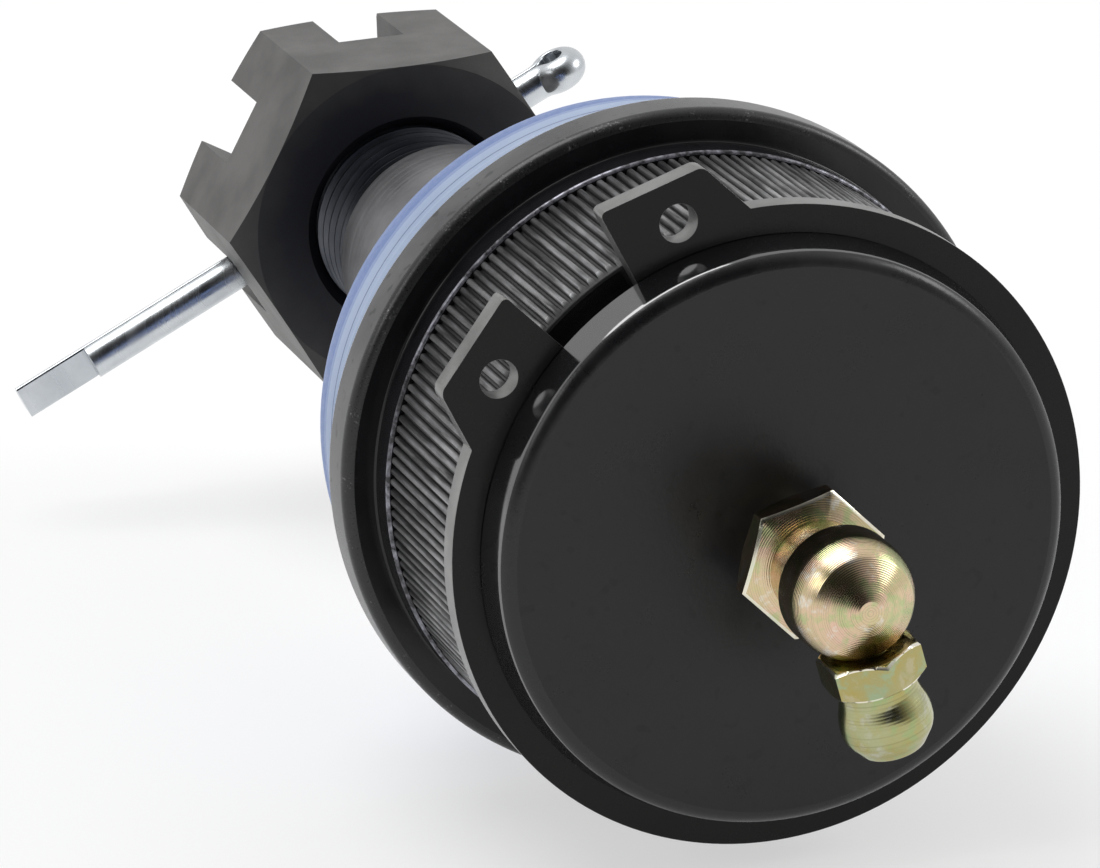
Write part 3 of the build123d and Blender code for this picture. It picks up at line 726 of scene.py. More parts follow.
END_BLACK = black_coat("end_black", (0.0095, 0.0093, 0.0105), (0.0155, 0.0152, 0.017),
                       smooth=0.26, rough=0.4, size=0.4, depth=0.03, specular=0.35)
END_EDGE = black_coat("end_edge", (0.006, 0.006, 0.007), (0.010, 0.010, 0.011),
                      smooth=0.18, rough=0.36, size=0.5, depth=0.03, specular=0.45)
LAND_BLACK = black_coat("land_black", (0.010, 0.010, 0.011), (0.014, 0.014, 0.015),
                        smooth=0.08, rough=0.12, size=2.0, depth=0.0003, specular=1.0, index=1.8)
FLANGE_BLACK = black_coat("flange_black", (0.007, 0.007, 0.008), (0.011, 0.011, 0.013),
                          smooth=0.16, rough=0.26, size=0.5, depth=0.01, specular=0.36)
# Painted sheen: the flange's outer rim is given a grey metallic colour for the band of light along it.
RIM_SHEEN_GREY = black_coat("rim_sheen_grey", (0.07, 0.07, 0.074), (0.13, 0.13, 0.134),
                      smooth=0.26, rough=0.36, size=0.35, depth=0.01, specular=0.5, metallic=0.75)
EDGE_WORN = edge_wear_and_highlight("edge_worn", (0.014, 0.014, 0.015), (0.3, 0.3, 0.31),
                      amount=0.2, patch=0.16, broken=0.2)
# Painted highlight: pale bluish patches along the shoulder's edge stand in for the line of light on it.
SHOULDER_HIGHLIGHT = edge_wear_and_highlight("shoulder_highlight", (0.02, 0.02, 0.024), (0.34, 0.34, 0.39),
                        amount=0.5, patch=0.6, broken=0.3)
KNURL_BLACK = knurl_finish()
HOUSING_COATS = [END_BLACK, LAND_BLACK, KNURL_BLACK, FLANGE_BLACK,
                 RIM_SHEEN_GREY, EDGE_WORN, SHOULDER_HIGHLIGHT, END_EDGE]
RING_BLACK = black_coat("ring_black", (0.0035, 0.0034, 0.0032), (0.0065, 0.0062, 0.006),
                        smooth=0.2, rough=0.32, size=0.3, depth=0.004, specular=0.22)
# Painted highlight: the snap ring's edges and side walls are grey steel against its black faces.
RING_EDGE_HIGHLIGHT = dark_steel("ring_edge_highlight", (0.15, 0.15, 0.147), (0.28, 0.28, 0.275),
                       smooth=0.28, rough=0.42, metallic=0.85)
RING_COATS = [RING_BLACK, RING_EDGE_HIGHLIGHT]
# Painted shade and sheen: one blackened nut, with its end faces near black and its flats grey.
NUT_FACE_SHADE = nut_face_shade_finish()
NUT_SIDE_SHEEN = dark_steel("nut_side_sheen", (0.095, 0.093, 0.091), (0.155, 0.151, 0.148),
                      smooth=0.44, rough=0.58, metallic=0.55)
NUT_COATS = [NUT_SIDE_SHEEN, NUT_FACE_SHADE]
TAPER_STEEL = bright_metal("taper_steel", (0.18, 0.18, 0.19), (0.30, 0.30, 0.31),
                           smooth=0.28, rough=0.42, spacing=0.35, depth=0.012)
THREAD_STEEL = bright_metal("thread_steel", (0.05, 0.055, 0.065), (0.12, 0.125, 0.14),
                            smooth=0.3, rough=0.45, spacing=0.3, depth=0.008)
STUD_COATS = [TAPER_STEEL, THREAD_STEEL]
PIN_ZINC = bright_metal("pin_zinc", (0.50, 0.53, 0.56), (0.72, 0.75, 0.77),
                        smooth=0.2, rough=0.34, spacing=4.0, depth=0.004)
RING_WIRE = bright_metal("ring_wire", (0.36, 0.36, 0.37), (0.52, 0.52, 0.53),
                         smooth=0.25, rough=0.4, spacing=0.4, depth=0.008)
NIPPLE_LINES = nipple_frame().to_euler()
ELBOW_GOLD = chromate("elbow_chromate", (0, 0, 0), (0, 0, 0), feed=0.2, depth=0.016, furrows=0.4,
                      first=(0.62, 0.53, 0.30), second=(0.74, 0.52, 0.39),
                      green=(0.47, 0.53, 0.26), silver=(0.76, 0.73, 0.64), turned_sheen=0.75)
NIPPLE_GOLD = chromate("nipple_chromate", ELBOW_CENTRE, NIPPLE_LINES, feed=0.3, depth=0.006, furrows=0.3,
                       first=(0.41, 0.36, 0.13), second=(0.42, 0.43, 0.24),
                       green=(0.34, 0.43, 0.20), silver=(0.49, 0.49, 0.38))
COLLAR_GOLD = chromate("collar_chromate", ELBOW_CENTRE, NIPPLE_LINES, feed=0.5, depth=0.001, furrows=0.0,
                       first=(0.42, 0.34, 0.11), second=(0.38, 0.37, 0.19),
                       green=(0.33, 0.42, 0.26), silver=(0.46, 0.42, 0.26))
# Painted highlight: a pale chromate on the hexagons' broken edges for the bright line along them.
EDGE_GOLD_HIGHLIGHT = chromate("edge_chromate_highlight", (0, 0, 0), (0, 0, 0), feed=0.2, depth=0.002, furrows=0.0,
                     first=(0.78, 0.74, 0.60), second=(0.82, 0.76, 0.64),
                     green=(0.70, 0.72, 0.56), silver=(0.84, 0.82, 0.75))
ELBOW_COATS = [ELBOW_GOLD, EDGE_GOLD_HIGHLIGHT]
NIPPLE_COATS = [NIPPLE_GOLD, EDGE_GOLD_HIGHLIGHT, COLLAR_GOLD]
BOOT_BLUE = rubber("boot_blue", (0.125, 0.195, 0.41), (0.16, 0.23, 0.455), (0.24, 0.31, 0.53))
# Painted sheen: the boot is paler near the flange, where its surface turns outwards, through a middle
# band to the full blue.
BOOT_MIDDLE_SHEEN = rubber("boot_middle_sheen", (0.22, 0.29, 0.49), (0.26, 0.33, 0.53), (0.36, 0.43, 0.62))
BOOT_PALE_SHEEN = rubber("boot_pale_sheen", (0.32, 0.40, 0.56), (0.38, 0.46, 0.62), (0.58, 0.65, 0.80))
BOOT_LINE = rubber("boot_seam", (0.16, 0.20, 0.33), (0.19, 0.23, 0.36), (0.22, 0.26, 0.40))
BOOT_BANDS = [BOOT_BLUE, BOOT_MIDDLE_SHEEN, BOOT_PALE_SHEEN, BOOT_LINE]
BEARING_PLASTIC = plastic("bearing_plastic", (0.62, 0.59, 0.50), (0.74, 0.71, 0.62))


# Socket

def housing_coat(place, radius):
    """The coat at a place along the socket's axis and a radius from it."""
    if place < FACE + 0.02:
        return END_BLACK
    if place < FACE + FACE_ROUND * 0.8:
        return END_EDGE
    if place < GROOVE_FAR:
        return LAND_BLACK
    if place < KNURL_FAR - 0.05:
        return KNURL_BLACK
    # Painted highlight on the shoulder's edge.
    if place < KNURL_FAR + 0.24 and radius > SHOULDER_R - 0.24:
        return SHOULDER_HIGHLIGHT
    # Painted sheen on the flange's rim.
    if radius > FLANGE_R - 0.02:
        return RIM_SHEEN_GREY
    if radius > FLANGE_R - FLANGE_ROUND and place < FLANGE_NEAR + FLANGE_ROUND:
        return EDGE_WORN
    return FLANGE_BLACK


def make_housing():
    """The socket's wall, turned in one piece, with the teeth of the knurl round it."""
    root = KNURL_R - KNURL_DEPTH
    bm = turned([
        (ELBOW_SHANK_R + ELBOW_SHANK_GAP, FACE, 0.2),
        (LAND_FRONT_R, FACE, FACE_ROUND),
        (LAND_R, GROOVE_NEAR, 0.12),
        (GROOVE_R, GROOVE_NEAR),
        (GROOVE_R, GROOVE_FAR),
        (root, GROOVE_FAR, 0.25),
        (root, KNURL_FAR),
        (SHOULDER_R, KNURL_FAR, 0.25),
        (SHOULDER_R, FLANGE_NEAR, 0.2),
        (FLANGE_R, FLANGE_NEAR, FLANGE_ROUND),
        (FLANGE_R, FLANGE_FAR, FLANGE_ROUND),
        (BOOT_SEAT_R, FLANGE_FAR),
        (BOOT_SEAT_R, LIP_FAR, 0.6),
        (LIP_INNER_R, LIP_FAR, 0.2),
        (LIP_INNER_R, CLOSURE_FAR),
        (CLOSURE_R, CLOSURE_FAR),
        (CLOSURE_R, CLOSURE_NEAR),
        (SOCKET_R, CLOSURE_NEAR),
        (SOCKET_R, SOCKET_FLOOR),
        (ELBOW_SHANK_R + ELBOW_SHANK_GAP, SOCKET_FLOOR),
    ], 192)
    for face in bm.faces:
        coat = housing_coat(face.calc_center_median().y, mean_radius(face))
        face.material_index = HOUSING_COATS.index(coat)
    return join(bm, make_teeth(root))


def make_teeth(root):
    """One tooth of the knurl, running out at its front end, repeated round the socket."""
    bm = bmesh.new()
    pitch = 360 / KNURL_TEETH
    near = GROOVE_FAR + 0.05
    foot = root - TOOTH_SINK
    crest = near + KNURL_RUNOUT
    corners = [
        polar(foot, -TOOTH_FOOT_SHARE * pitch, near),
        polar(KNURL_R, -TOOTH_CREST_SHARE * pitch, crest),
        polar(KNURL_R, TOOTH_CREST_SHARE * pitch, crest),
        polar(foot, TOOTH_FOOT_SHARE * pitch, near),
    ]
    face = bm.faces.new([bm.verts.new(corner) for corner in corners])
    extrude(bm, [face], (0, KNURL_FAR - near - 0.05, 0))
    bmesh.ops.recalc_face_normals(bm, faces=bm.faces)
    top = [v for v in bm.verts if math.hypot(v.co.x, v.co.z) > KNURL_R - 0.01]
    crests = [e for e in bm.edges if e.verts[0] in top and e.verts[1] in top]
    bmesh.ops.bevel(bm, geom=crests, offset=TOOTH_BREAK, offset_type="OFFSET", segments=2, profile=0.5,
                    affect="EDGES", material=-1)
    for face in bm.faces:
        face.material_index = HOUSING_COATS.index(KNURL_BLACK)
    copies = KNURL_TEETH - 1
    bmesh.ops.spin(bm, geom=whole(bm), cent=(0, 0, 0), axis=(0, 1, 0),
                   angle=math.tau * copies / KNURL_TEETH, steps=copies, use_duplicate=True)
    return bm


def make_retaining_ring():
    """The snap ring: a flat open ring with a lug and a plier hole at each end."""
    bm = bmesh.new()
    loop = []
    turns = 150
    for step in range(turns + 1):
        angle = LUG_ROOT + (360 - 2 * LUG_ROOT) * step / turns
        loop.append(polar(RING_OUTER_R, RING_GAP + angle, RING_NEAR))
    tips = len(loop)
    loop.append(polar(LUG_REACH, RING_GAP - LUG_TIP, RING_NEAR))
    loop.append(polar(LUG_REACH, RING_GAP - RING_GAP_HALF, RING_NEAR))
    for step in range(turns + 1):
        angle = -RING_GAP_HALF - (360 - 2 * RING_GAP_HALF) * step / turns
        loop.append(polar(RING_INNER_R, RING_GAP + angle, RING_NEAR))
    loop.append(polar(LUG_REACH, RING_GAP + RING_GAP_HALF, RING_NEAR))
    loop.append(polar(LUG_REACH, RING_GAP + LUG_TIP, RING_NEAR))
    verts = chain(bm, loop)
    for corner in (verts[tips], verts[tips + 1], verts[-2], verts[-1]):
        round_corner(bm, corner, LUG_ROUND)
    for side in (-1, 1):
        hole = polar(LUG_HOLE_REACH, RING_GAP + side * LUG_HOLE_ANGLE, RING_NEAR)
        chain(bm, [hole + polar(LUG_HOLE_R, 360 * step / 40) for step in range(40)])
    bmesh.ops.triangle_fill(bm, use_beauty=True, edges=bm.edges[:])
    extrude(bm, bm.faces[:], (0, RING_FAR - RING_NEAR, 0))
    settle(bm)
    rims = [e for e in creases(bm, 60) if abs(e.verts[0].co.y - e.verts[1].co.y) < 0.01]
    round_edges(bm, rims, RING_EDGE_ROUND)
    bm.normal_update()
    for face in bm.faces:
        # Painted highlight on the edges and side walls.
        coat = RING_EDGE_HIGHLIGHT if abs(face.normal.y) < 0.98 else RING_BLACK
        face.material_index = RING_COATS.index(coat)
    return bm


# Grease fitting

def make_elbow():
    """Threaded shank, hexagon, neck and turned dome, with a flat on the dome for the nipple."""
    root = ELBOW_SHANK_R - ELBOW_THREAD_DEPTH
    threads = []
    place = FACE - 0.35
    while place > ELBOW_HEX_NEAR + 0.5:
        threads += [(root, place), (ELBOW_SHANK_R, place - ELBOW_THREAD_PITCH / 2)]
        place -= ELBOW_THREAD_PITCH
    cone_turn = math.degrees(math.acos(ELBOW_CONE_R / ELBOW_HEAD_R))
    dome = arc(0, ELBOW_DOME, ELBOW_HEAD_R, 0, -cone_turn, 16)
    head = turned([
        (0, ELBOW_SHANK_END),
        (ELBOW_SHANK_R, ELBOW_SHANK_END, 0.3),
        (ELBOW_SHANK_R, FACE),
        *threads,
        (root, ELBOW_HEX_NEAR),
        (root, ELBOW_HEX_FAR + 0.3),
        (ELBOW_NECK_R, ELBOW_HEX_FAR + 0.3),
        (ELBOW_NECK_R, ELBOW_HEAD_NEAR, 0.3),
        (ELBOW_HEAD_R, ELBOW_HEAD_NEAR, 0.3),
        *dome,
        (ELBOW_CAP_R, ELBOW_CAP + 0.06),
        (ELBOW_CAP_R - 0.1, ELBOW_CAP),
        (0, ELBOW_CAP),
    ], 96, closed=False)
    facing = polar(1, NIPPLE_DIRECTION)
    bmesh.ops.bisect_plane(head, geom=whole(head), dist=0.0001,
                           plane_co=facing * NIPPLE_SEAT + Vector(ELBOW_CENTRE), plane_no=facing)
    for vert in head.verts:
        past = vert.co.dot(facing) - NIPPLE_SEAT
        if vert.co.y < ELBOW_HEAD_NEAR + 0.05 and past > 0:
            vert.co -= facing * past
    settle(head)
    base = hexagon(ELBOW_FLATS, NIPPLE_DIRECTION, ELBOW_HEX_FAR, ELBOW_HEX_NEAR, chamfer_near=False)
    slope = math.tan(math.radians(ELBOW_HEX_SLOPE))
    front = turned([
        (0, ELBOW_HEX_FAR - ELBOW_NECK_R * slope),
        (ELBOW_FLATS, ELBOW_HEX_FAR + (ELBOW_FLATS - ELBOW_NECK_R) * slope),
        (ELBOW_FLATS, ELBOW_HEX_NEAR + 1),
        (0, ELBOW_HEX_NEAR + 1),
    ], 120, closed=False)
    base = cut(base, front, "INTERSECT")
    break_edges(base, ELBOW_FLATS, NIPPLE_DIRECTION, ELBOW_EDGE_BREAK, ELBOW_COATS, ELBOW_GOLD)
    return join(head, base)


def make_nipple():
    """Head, neck and bored shank with a hexagon collar, set on the elbow's flat."""
    stem = turned([
        (NIPPLE_ORIFICE_R, NIPPLE_CONE_END),
        (NIPPLE_ORIFICE_R, NIPPLE_TIP, 0.15),
        (NIPPLE_TIP_R, NIPPLE_TIP, 0.25),
        (NIPPLE_HEAD_R, NIPPLE_BELLY_END, 0.55),
        (NIPPLE_HEAD_R, NIPPLE_BELLY_START, 0.55),
        (NIPPLE_NECK_R, NIPPLE_NECK_END, 0.4),
        (NIPPLE_NECK_R, NIPPLE_SEAT),
        (NIPPLE_SHANK_R, NIPPLE_SEAT),
        (NIPPLE_SHANK_R, NIPPLE_SHANK_END),
        (NIPPLE_BORE_R, NIPPLE_SHANK_END),
        (NIPPLE_BORE_R, NIPPLE_CONE_START),
    ], 72)
    collar = hexagon(NIPPLE_FLATS, NIPPLE_FLAT_TURN, NIPPLE_SEAT, NIPPLE_COLLAR_END)
    break_edges(collar, NIPPLE_FLATS, NIPPLE_FLAT_TURN, NIPPLE_EDGE_BREAK, NIPPLE_COATS, COLLAR_GOLD)
    bm = join(stem, collar)
    bmesh.ops.transform(bm, matrix=nipple_frame(), verts=bm.verts)
    return bm


def make_check_coil():
    """The small coil behind the check ball, drawn round along the nipple's bore."""
    bm = bmesh.new()
    bmesh.ops.create_circle(bm, segments=10, radius=CHECK_WIRE_R)
    bmesh.ops.translate(bm, verts=bm.verts, vec=(CHECK_COIL_R, CHECK_COIL_START, 0))
    steps = 24 * CHECK_COIL_TURNS
    rise = (CHECK_COIL_END - CHECK_COIL_START) / steps
    bmesh.ops.spin(bm, geom=bm.verts[:] + bm.edges[:], cent=(0, 0, 0), axis=(0, 1, 0),
                   dvec=(0, rise, 0), angle=math.tau * CHECK_COIL_TURNS, steps=steps)
    bmesh.ops.holes_fill(bm, edges=[e for e in bm.edges if e.is_boundary], sides=0)
    bmesh.ops.recalc_face_normals(bm, faces=bm.faces)
    bmesh.ops.transform(bm, matrix=nipple_frame(), verts=bm.verts)
    return bm


# Boot and its rings

def make_boot_lower():
    """From the base on the socket round the bulge to the split."""
    start = -math.degrees(math.acos((BOOT_BASE_R - BOOT_CENTRE_R) / BOOT_BULGE))
    inside_start = -math.degrees(math.asin((BOOT_CENTRE - BOOT_BASE_FAR) / (BOOT_BULGE - BOOT_WALL)))
    groove = arc(BOOT_BASE_R, BASE_RING_PLACE, BOOT_RING_WIRE_R + BOOT_RING_GAP, -90, -270, 12)
    bands = [start]
    for place in (BOOT_SEAM - BOOT_SEAM_HALF, BOOT_SEAM + BOOT_SEAM_HALF, BOOT_PALE_END, BOOT_BLUE_START):
        bands.append(math.degrees(math.asin((place - BOOT_CENTRE) / BOOT_BULGE)))
    bulge = arc(BOOT_CENTRE_R, BOOT_CENTRE, BOOT_BULGE, bands[0], bands[1], 7)
    bulge += arc(BOOT_CENTRE_R, BOOT_CENTRE, BOOT_BULGE, bands[2], bands[3], 4)
    bulge += arc(BOOT_CENTRE_R, BOOT_CENTRE, BOOT_BULGE, bands[4], BOOT_SPLIT, 22)
    hollow = arc(BOOT_CENTRE_R, BOOT_CENTRE, BOOT_BULGE - BOOT_WALL, BOOT_SPLIT, inside_start, 24)
    bm = turned([
        (BOOT_SEAT_BORE, BOOT_BASE_NEAR, 0.2),
        (BOOT_BASE_R, BOOT_BASE_NEAR, 0.3),
        *groove,
        *bulge,
        *hollow,
        (BOOT_SEAT_BORE, BOOT_BASE_FAR),
    ], 144)
    # Painted sheen: paler bands on the boot near the flange.
    for face in bm.faces:
        place = face.calc_center_median().y
        if abs(place - BOOT_SEAM) < BOOT_SEAM_HALF:
            band = BOOT_LINE
        elif place < BOOT_PALE_END:
            band = BOOT_PALE_SHEEN
        elif place < BOOT_BLUE_START:
            band = BOOT_MIDDLE_SHEEN
        else:
            band = BOOT_BLUE
        face.material_index = BOOT_BANDS.index(band)
    return bm


def make_boot_upper():
    """From the split over the shoulder to the collar on the stud."""
    top = BOOT_CENTRE + BOOT_BULGE
    groove = arc(BOOT_COLLAR_R, NECK_RING_PLACE, BOOT_RING_WIRE_R + BOOT_RING_GAP, -90, -270, 12)
    bulge = arc(BOOT_CENTRE_R, BOOT_CENTRE, BOOT_BULGE, BOOT_SPLIT, 90, 10)
    hollow = arc(BOOT_CENTRE_R, BOOT_CENTRE, BOOT_BULGE - BOOT_WALL, 90, BOOT_SPLIT, 10)
    return turned([
        *bulge,
        (BOOT_COLLAR_R, top + BOOT_WALL, 0.7),
        *groove,
        (BOOT_COLLAR_R, LAND_END, 0.4),
        (BOOT_LAND_BORE, LAND_END, 0.2),
        (BOOT_LAND_BORE, LAND_START, 0.2),
        (BOOT_COLLAR_R, top, 0.4),
        *hollow,
    ], 144)


def make_wire_ring(radius, place):
    return turned(arc(radius, place, BOOT_RING_WIRE_R, 0, 350, 35), 120)


# Stud, nut and split pin

def make_shank():
    """Ball, neck, seal land, taper and the relief before the thread."""
    ball = arc(0, 0, BALL_R, *BALL_ARC, 60)
    return turned([
        (0, -BALL_R + BALL_FLAT),
        *ball,
        (NECK_R, NECK_END, 1.5),
        (SEAL_LAND_R, LAND_START, 0.4),
        (SEAL_LAND_R, LAND_END, 0.08),
        (TAPER_LARGE_R, LAND_END, 0.05),
        (TAPER_SMALL_R, TAPER_END, 0.3),
        (RELIEF_R, TAPER_END, 0.3),
        (RELIEF_R, RELIEF_END + 0.6),
        (0, RELIEF_END + 0.6),
    ], 128, closed=False)


def make_thread():
    """The thread: one groove of it, wound up the stud, cut off square and closed at both ends."""
    bm = bmesh.new()
    shares = [(THREAD_ROOT_R, 0.0), (THREAD_ROOT_R, 0.16), (THREAD_R, 0.44),
              (THREAD_R, 0.56), (THREAD_ROOT_R, 0.84), (THREAD_ROOT_R, 1.0)]
    low = RELIEF_END - THREAD_PITCH
    chain(bm, [(radius, low + share * THREAD_PITCH, 0) for radius, share in shares], closed=False)
    steps = 72
    turns = math.ceil((STUD_END - low) / THREAD_PITCH) + 1
    bmesh.ops.spin(bm, geom=bm.verts[:] + bm.edges[:], cent=(0, 0, 0), axis=(0, -1, 0),
                   dvec=(0, THREAD_PITCH / steps, 0), angle=math.tau * turns, steps=steps * turns)
    bmesh.ops.remove_doubles(bm, verts=bm.verts, dist=0.002)
    for place, normal in ((RELIEF_END, (0, -1, 0)), (STUD_END, (0, 1, 0))):
        bmesh.ops.bisect_plane(bm, geom=whole(bm), dist=0.0001,
                               plane_co=(0, place, 0), plane_no=normal, clear_outer=True)
    for vert in bm.verts:
        radius = math.hypot(vert.co.x, vert.co.z)
        room = min(vert.co.y - RELIEF_END, STUD_END - vert.co.y)
        limit = min(THREAD_ROOT_R - 0.1 + room, THREAD_R)
        if radius > limit:
            vert.co.x *= limit / radius
            vert.co.z *= limit / radius
    bmesh.ops.remove_doubles(bm, verts=bm.verts, dist=0.0005)
    bmesh.ops.holes_fill(bm, edges=[e for e in bm.edges if e.is_boundary])
    bmesh.ops.recalc_face_normals(bm, faces=bm.faces)
    return bm


def make_stud():
    """The shank and the thread, with the pin's hole drilled across."""
    drill = bmesh.new()
    bmesh.ops.create_cone(drill, cap_ends=True, segments=48, radius1=PIN_HOLE_R, radius2=PIN_HOLE_R,
                          depth=40)
    turn_shape(drill, "Y", 90)
    turn_shape(drill, "Y", -PIN_DIRECTION)
    bmesh.ops.translate(drill, verts=drill.verts, vec=(0, PIN_AXIS, 0))
    thread = cut(make_thread(), drill)
    for face in thread.faces:
        face.material_index = STUD_COATS.index(THREAD_STEEL)
    return join(make_shank(), thread)


def seam_seat(nut):
    """Part the nut's seat into sectors, so that no face of it goes all the way round the bore."""
    for side in range(3):
        nut.normal_update()
        seat = [face for face in nut.faces if face.normal.y < -0.99]
        edges = {edge for face in seat for edge in face.edges}
        verts = {vert for face in seat for vert in face.verts}
        across = polar(1, NUT_FLAT_DIRECTION + NUT_SEAM_TURN + 90 + 60 * side)
        parted = bmesh.ops.bisect_plane(nut, geom=seat + list(edges) + list(verts), dist=0.0001,
                                        plane_co=(0, NUT_SEAT, 0), plane_no=across)
        for item in parted["geom_cut"]:
            if isinstance(item, bmesh.types.BMEdge):
                item.seam = True


def make_nut():
    """Hexagon with turned-down corners, a countersunk bore and a slot across each pair of flats."""
    nut = hexagon(NUT_FLATS, NUT_FLAT_DIRECTION, NUT_SEAT, NUT_FAR)
    bore = turned([
        (0, NUT_SEAT - 1),
        (NUT_BORE_R + NUT_COUNTERSINK + 1, NUT_SEAT - 1),
        (NUT_BORE_R, NUT_SEAT + NUT_COUNTERSINK),
        (NUT_BORE_R, NUT_FAR - NUT_COUNTERSINK),
        (NUT_BORE_R + NUT_COUNTERSINK + 1, NUT_FAR + 1),
        (0, NUT_FAR + 1),
    ], 96, closed=False)
    nut = cut(nut, bore)
    for side in range(3):
        slot = bmesh.new()
        bmesh.ops.create_cube(slot, size=1)
        bmesh.ops.scale(slot, vec=(40, 2 * NUT_SLOT_DEPTH, NUT_SLOT_WIDTH), verts=slot.verts)
        turn_shape(slot, "Y", -NUT_FLAT_DIRECTION - 60 * side)
        bmesh.ops.translate(slot, verts=slot.verts, vec=(0, NUT_FAR, 0))
        nut = cut(nut, slot)
    seam_seat(nut)
    bmesh.ops.dissolve_limit(nut, angle_limit=math.radians(0.6), verts=nut.verts, edges=nut.edges,
                             delimit={"SEAM"})
    round_edges(nut, creases(nut, 24), NUT_EDGE_ROUND)
    # Painted shade on the end faces, painted sheen on the flats.
    for face in nut.faces:
        at_end = abs(face.normal.y) > 0.3 or mean_radius(face) < NUT_BORE_R + 1.0
        face.material_index = NUT_COATS.index(NUT_FACE_SHADE if at_end else NUT_SIDE_SHEEN)
    return nut


def make_pin():
    """Half-round wire drawn along the long leg, round the eye and back along the short leg."""
    wire = PIN_R - PIN_SPLIT
    spread_out = PIN_THROAT_R + PIN_SPLIT
    turn = math.acos(spread_out / (PIN_THROAT_R + PIN_EYE_R))
    eye = PIN_THROAT + (PIN_THROAT_R + PIN_EYE_R) * math.sin(turn)
    bm = bmesh.new()
    verts = []
    for step in range(19):
        angle = math.pi * step / 18
        point = (-PIN_LONG_LEG, PIN_SPLIT + wire * math.sin(angle), wire * math.cos(angle))
        verts.append(bm.verts.new(point))
    bm.faces.new(verts)
    for vert in (verts[0], verts[-1]):
        round_corner(bm, vert, PIN_EDGE_ROUND, 3)

    def bend(faces, centre, angle, steps):
        made = bmesh.ops.spin(bm, geom=faces, cent=centre, axis=(0, 0, 1), angle=angle, steps=steps)
        return [item for item in made["geom_last"] if isinstance(item, bmesh.types.BMFace)]

    front = extrude(bm, bm.faces[:], (PIN_END_STEP, 0, 0))
    front = extrude(bm, front, (PIN_LONG_LEG + PIN_THROAT - PIN_END_STEP, 0, 0))
    front = bend(front, (PIN_THROAT, spread_out, 0), turn, 10)
    front = bend(front, (eye, 0, 0), -math.pi - 2 * turn, 36)
    front = bend(front, (PIN_THROAT, -spread_out, 0), turn, 10)
    front = extrude(bm, front, (-PIN_SHORT_LEG - PIN_THROAT + PIN_END_STEP, 0, 0))
    extrude(bm, front, (-PIN_END_STEP, 0, 0))
    settle(bm)
    stray = [f for f in bm.faces if all(len(e.link_faces) > 2 for e in f.edges)]
    bmesh.ops.delete(bm, geom=stray, context="FACES_ONLY")
    bmesh.ops.recalc_face_normals(bm, faces=bm.faces)
    along = polar(1, PIN_DIRECTION)
    up = Vector((0, 1, 0))
    turn_to = Matrix((along, up, along.cross(up))).transposed().to_4x4()
    bmesh.ops.transform(bm, matrix=Matrix.Translation((0, PIN_AXIS, 0)) @ turn_to, verts=bm.verts)
    return bm


# Pieces and the bodies they ride on

piece("socket_housing", make_housing(), HOUSING_COATS, "socket", "socket_black", "housing")
piece("snap_ring", make_retaining_ring(), RING_COATS, "socket", "ring_black", "retaining_ring")
piece("grease_elbow_body", make_elbow(), ELBOW_COATS, "socket", "yellow_chromate", "grease_elbow")
piece("grease_nipple_body", make_nipple(), NIPPLE_COATS, "socket", "yellow_chromate", "grease_nipple")
coil = piece("check_coil", make_check_coil(), [RING_WIRE], "socket", "spring_steel", "check_spring")
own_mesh(coil)
base_wire = make_wire_ring(BOOT_BASE_R, BASE_RING_PLACE)
piece("base_ring", base_wire, [RING_WIRE], "socket", "spring_steel", "boot_base_ring")
neck_wire = make_wire_ring(BOOT_COLLAR_R, NECK_RING_PLACE)
piece("neck_ring", neck_wire, [RING_WIRE], "collar", "spring_steel", "boot_neck_ring")
piece("stud", make_stud(), STUD_COATS, "stud", "steel", "ball_stud")
piece("slotted_nut", make_nut(), NUT_COATS, "stud", "nut_black", "castle_nut")
piece("split_pin", make_pin(), [PIN_ZINC], "stud", "zinc", "cotter_pin")

lower = piece("boot_lower", make_boot_lower(), BOOT_BANDS, None, "boot_rubber", "dust_boot")
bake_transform(lower)
upper = piece("boot_upper", make_boot_upper(), BOOT_BANDS[:1], None, "boot_rubber", "dust_boot")
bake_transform(upper)

# Solids that keep their own shape

for node, finish in (
    ("closure_ring", TAPER_STEEL),
    ("upper_bearing", BEARING_PLASTIC),
    ("lower_bearing", BEARING_PLASTIC),
    ("preload_spring", RING_WIRE),
    ("check_ball", PIN_ZINC),
):
    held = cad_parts[node].data.materials
    held.clear()
    held.append(finish)


# Floor, light and camera

FLOOR_GLOW = 0.55
ROOM_BRIGHT = 0.84
ROOM_DARK = 0.02
CAMERA_LENS = 212.73
CAMERA_PLACE = Vector((-0.157759, -0.421836, 0.149717))
CAMERA_FORWARD = Vector((0.314074, 0.896215, -0.313299))
CAMERA_UP = Vector((0.103616, 0.295669, 0.949654))


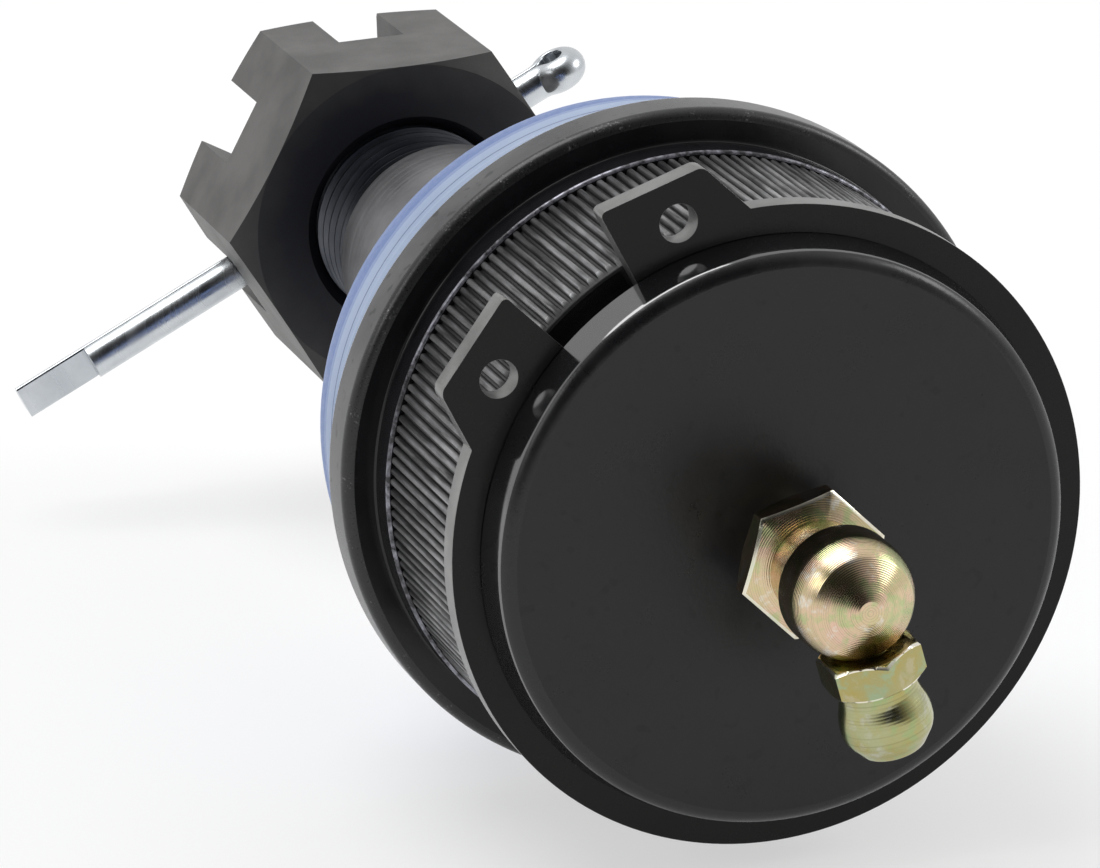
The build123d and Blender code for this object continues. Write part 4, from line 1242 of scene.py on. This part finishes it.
def make_floor():
    """White floor under the flange that keeps the part's shadow."""
    bm = bmesh.new()
    bmesh.ops.create_grid(bm, x_segments=1, y_segments=1, size=4.0)
    bmesh.ops.translate(bm, verts=bm.verts, vec=(0, 0, -FLANGE_R * MM - 0.00005))
    mesh = bpy.data.meshes.new("floor")
    bm.to_mesh(mesh)
    bm.free()
    made, tree, shader = start_finish("floor_white", Specular_IOR_Level=0.1, Roughness=0.9)
    grain = place_group(tree, GRAIN, Size=8.0, Broad_Size=300.0).outputs
    colour = tint(tree, grain["Broad"], (0.93, 0.93, 0.93), (0.95, 0.95, 0.95))
    tree.links.new(colour, shader.inputs["Base Color"])
    path = add(tree, "ShaderNodeLightPath").outputs
    mirrored = calc(tree, "MAXIMUM", path["Is Glossy Ray"], path["Is Transmission Ray"])
    seen = calc(tree, "MAXIMUM", path["Is Camera Ray"], mirrored)
    glow = add(tree, "ShaderNodeEmission", Strength=1.0)
    mixed = tree.nodes.new("ShaderNodeMixShader")
    tree.links.new(calc(tree, "MULTIPLY", seen, FLOOR_GLOW), mixed.inputs[0])
    tree.links.new(shader.outputs[0], mixed.inputs[1])
    tree.links.new(glow.outputs[0], mixed.inputs[2])
    tree.links.new(mixed.outputs[0], tree.nodes["Material Output"].inputs["Surface"])
    mesh.materials.append(made)
    floor = bpy.data.objects.new("floor", mesh)
    bpy.context.scene.collection.objects.link(floor)


def make_world():
    """A bright room that falls off towards the dark side in front of the part."""
    world = bpy.data.worlds.new("studio")
    bpy.context.scene.world = world
    world.use_nodes = True
    tree = world.node_tree
    sky = tree.nodes["Background"]
    way = add(tree, "ShaderNodeTexCoord").outputs["Generated"]
    facing = add(tree, "ShaderNodeVectorMath", {"operation": "DOT_PRODUCT"})
    tree.links.new(way, facing.inputs[0])
    facing.inputs[1].default_value = -CAMERA_FORWARD
    level = spread(tree, facing.outputs["Value"], 0.15, 0.86, ROOM_BRIGHT, ROOM_DARK)
    tree.links.new(tint(tree, level, (0, 0, 0), (1, 1, 1)), sky.inputs["Color"])
    sky.inputs["Strength"].default_value = 1.0


def make_lamp(name, place, size, power):
    """A round lamp that faces the part."""
    light = bpy.data.lights.new(name, "AREA")
    light.shape = "DISK"
    light.size = size
    light.energy = power
    lamp = bpy.data.objects.new(name, light)
    lamp.location = place
    lamp.rotation_euler = Vector(place).to_track_quat("Z", "Y").to_euler()
    bpy.context.scene.collection.objects.link(lamp)


def make_camera():
    data = bpy.data.cameras.new("camera")
    data.sensor_fit = "HORIZONTAL"
    data.sensor_width = 36.0
    data.lens = CAMERA_LENS
    data.clip_start = 0.01
    camera = bpy.data.objects.new("camera", data)
    right = CAMERA_FORWARD.cross(CAMERA_UP)
    turn = Matrix((right, CAMERA_UP, -CAMERA_FORWARD)).transposed().to_4x4()
    camera.matrix_world = Matrix.Translation(CAMERA_PLACE) @ turn
    bpy.context.scene.collection.objects.link(camera)
    bpy.context.scene.camera = camera


make_floor()
make_world()
make_lamp("top_light", (-0.22, 0.18, 0.78), 0.6, 3.2)
make_lamp("right_light", (0.66, -0.12, 0.42), 0.36, 1.4)
make_lamp("left_light", (-0.7, -0.1, 0.36), 0.36, 0.8)
make_camera()
bpy.context.scene.view_settings.view_transform = "Standard"
